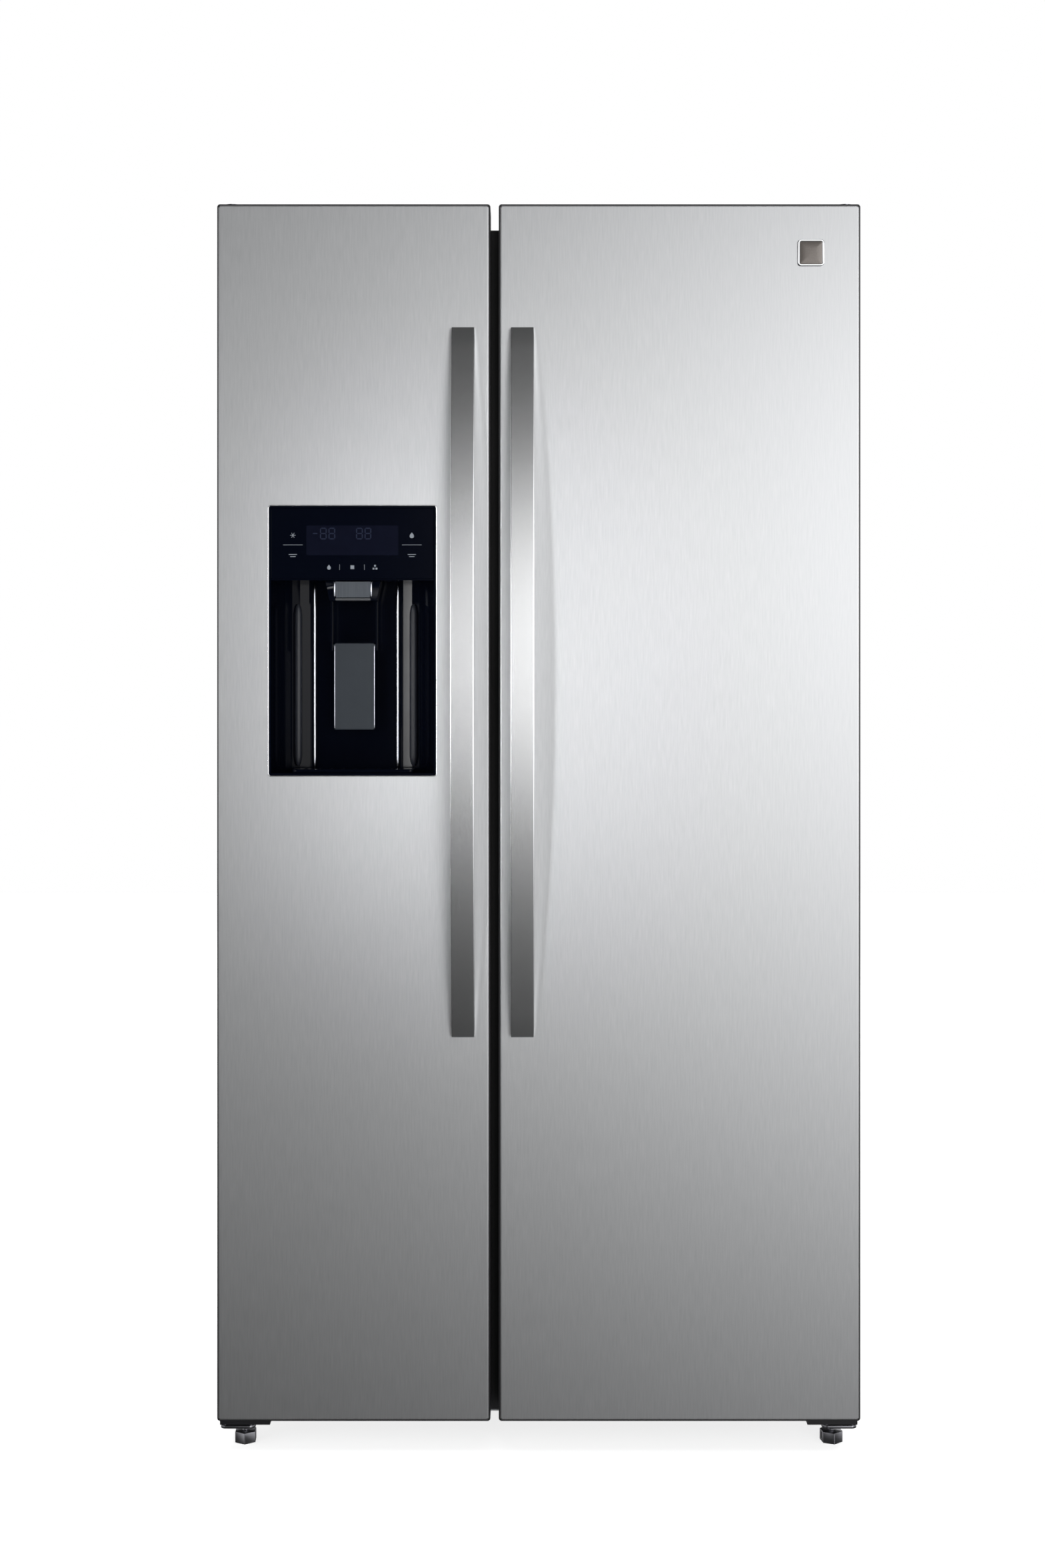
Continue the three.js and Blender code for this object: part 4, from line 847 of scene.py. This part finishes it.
frosted, tree, shader = start_material("frosted_acrylic", "f6f8f7", 0.0, 0.45)
shader.inputs["Transmission Weight"].default_value = 0.25
shader.inputs["IOR"].default_value = 1.49
place = add_node(tree, "ShaderNodeTexCoord")
ribs = add_node(tree, "ShaderNodeTexWave", {"bands_direction": "X"}, {"Scale": 1 / (8 * mm)},
                {"Vector": place.outputs["Object"]})
bump = add_node(tree, "ShaderNodeBump", values={"Strength": 0.3, "Distance": 0.2 * mm},
                links={"Height": ribs.outputs["Fac"]})
tree.links.new(bump.outputs["Normal"], shader.inputs["Normal"])
for room in ("freezer", "fridge"):
    low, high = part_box(f"{room}_liner")
    ceiling = high.z - 3 * mm
    mid = (low.x + high.x) / 2
    rings = []
    for inset, drop_down in ((0, 0.1), (0, 3), (2, 7), (6, 9)):
        outline = rounded(mid - (70 - inset) * mm, low.y + (40 + inset) * mm,
                          mid + (70 - inset) * mm, low.y + (85 - inset) * mm, 8 * mm)
        rings.append([(x, y, ceiling - drop_down * mm) for x, y in outline])
    new_piece(f"{room}_lamp_lens", loft(rings), frosted, "cabinet")


# ---- Studio ----
# A pale floor that glows slightly, a level camera, and a room with a bright band at eye
# level, as a long window wall would give. Wide lights fill in without being mirrored,
# and a narrow beam from the left throws the soft shadow beside the handles.

paper, tree, shader = start_material("pale_floor_paper", "f6f6f6", 0.0, 0.8)
shader.inputs["Emission Color"].default_value = linear("ffffff")
shader.inputs["Emission Strength"].default_value = 0.75
mesh = bmesh.new()
bmesh.ops.create_grid(mesh, x_segments=1, y_segments=1, size=7)
data = bpy.data.meshes.new("floor")
mesh.to_mesh(data)
mesh.free()
data.materials.append(paper)
floor = bpy.data.objects.new("floor", data)
bpy.context.scene.collection.objects.link(floor)
floor.visible_glossy = False

world = bpy.data.worlds.new("studio")
bpy.context.scene.world = world
world.use_nodes = True
tree = world.node_tree
tree.nodes.clear()
place = add_node(tree, "ShaderNodeTexCoord")
axes = add_node(tree, "ShaderNodeSeparateXYZ", links={"Vector": place.outputs["Generated"]})
height = add_node(tree, "ShaderNodeMapRange", values={"From Min": -1, "From Max": 1},
                  links={"Value": axes.outputs["Z"]})
band = add_node(tree, "ShaderNodeValToRGB", links={"Fac": height.outputs["Result"]})
ramp = band.color_ramp
ramp.interpolation = "EASE"
stops = [(0.0, 0.04), (0.25, 0.05), (0.329, 0.1), (0.40, 0.36), (0.456, 0.75), (0.51, 0.98),
         (0.565, 1.0), (0.61, 0.8), (0.65, 0.4), (0.69, 0.1), (0.74, 0.03), (0.88, 0.03), (1.0, 0.4)]
ramp.elements[0].position, ramp.elements[0].color = stops[0][0], (stops[0][1],) * 3 + (1,)
ramp.elements[1].position, ramp.elements[1].color = stops[-1][0], (stops[-1][1],) * 3 + (1,)
for position, bright in stops[1:-1]:
    ramp.elements.new(position).color = (bright, bright, bright, 1)
sideways = add_node(tree, "ShaderNodeMapRange",
                    values={"From Min": -0.07, "From Max": 0.4, "To Min": 0.0, "To Max": 6.2},
                    links={"Value": axes.outputs["X"]})
around = add_node(tree, "ShaderNodeMapRange",
                  values={"From Min": -0.86, "From Max": -0.72, "To Min": 0, "To Max": 1},
                  links={"Value": axes.outputs["Y"]})
level = add_node(tree, "ShaderNodeMix", {"data_type": "FLOAT"}, {"B": 1.3},
                 {"Factor": around.outputs["Result"], "A": sideways.outputs["Result"]})
room = add_node(tree, "ShaderNodeBackground",
                links={"Color": band.outputs["Color"], "Strength": level.outputs["Result"]})
backdrop = add_node(tree, "ShaderNodeBackground", values={"Color": linear("ffffff"), "Strength": 1.0})
ray = add_node(tree, "ShaderNodeLightPath")
both = add_node(tree, "ShaderNodeMixShader", links={0: ray.outputs["Is Camera Ray"]})
tree.links.new(room.outputs["Background"], both.inputs[1])
tree.links.new(backdrop.outputs["Background"], both.inputs[2])
add_node(tree, "ShaderNodeOutputWorld", links={"Surface": both.outputs["Shader"]})


def soft_light(name, position, target, size, watts, mirrored, spread=180):
    light = bpy.data.lights.new(name, "AREA")
    light.shape = "RECTANGLE"
    light.size, light.size_y = size
    light.energy = watts
    light.spread = math.radians(spread)
    lamp = bpy.data.objects.new(name, light)
    lamp.location = position
    lamp.rotation_euler = (Vector(target) - Vector(position)).to_track_quat("-Z", "Y").to_euler()
    lamp.visible_glossy = mirrored
    bpy.context.scene.collection.objects.link(lamp)


soft_light("overhead", (0, -0.6, 4.2), (0, -0.2, 0), (4, 4), 80, False)
soft_light("left_strip", (-1.9, -2.7, 1.3), (0, -0.36, 1.15), (0.5, 1.1), 3, True)
soft_light("handle_beam", (-1.2, -2.7, 1.12), (0.02, -0.37, 1.1), (0.3, 0.8), 0.36, True, 18)
soft_light("front_left", (-2.6, -3.4, 2.3), (0, -0.3, 0.9), (2.0, 2.4), 40, False)
soft_light("behind", (1.5, 3.6, 2.6), (0, 0.3, 0.9), (3, 2.5), 110, False)

camera_data = bpy.data.cameras.new("camera")
camera_data.sensor_fit = "VERTICAL"
camera_data.sensor_height = 36
camera_data.lens = 45.5
camera_data.shift_y = -0.067
camera = bpy.data.objects.new("camera", camera_data)
camera_side = -0.023
camera_height = 1.0976
distance = 2.8
camera.location = (camera_side, face - distance, camera_height)
camera.rotation_euler = (math.radians(90), 0, 0)
bpy.context.scene.collection.objects.link(camera)
bpy.context.scene.camera = camera
bpy.context.scene.view_settings.view_transform = "Standard"
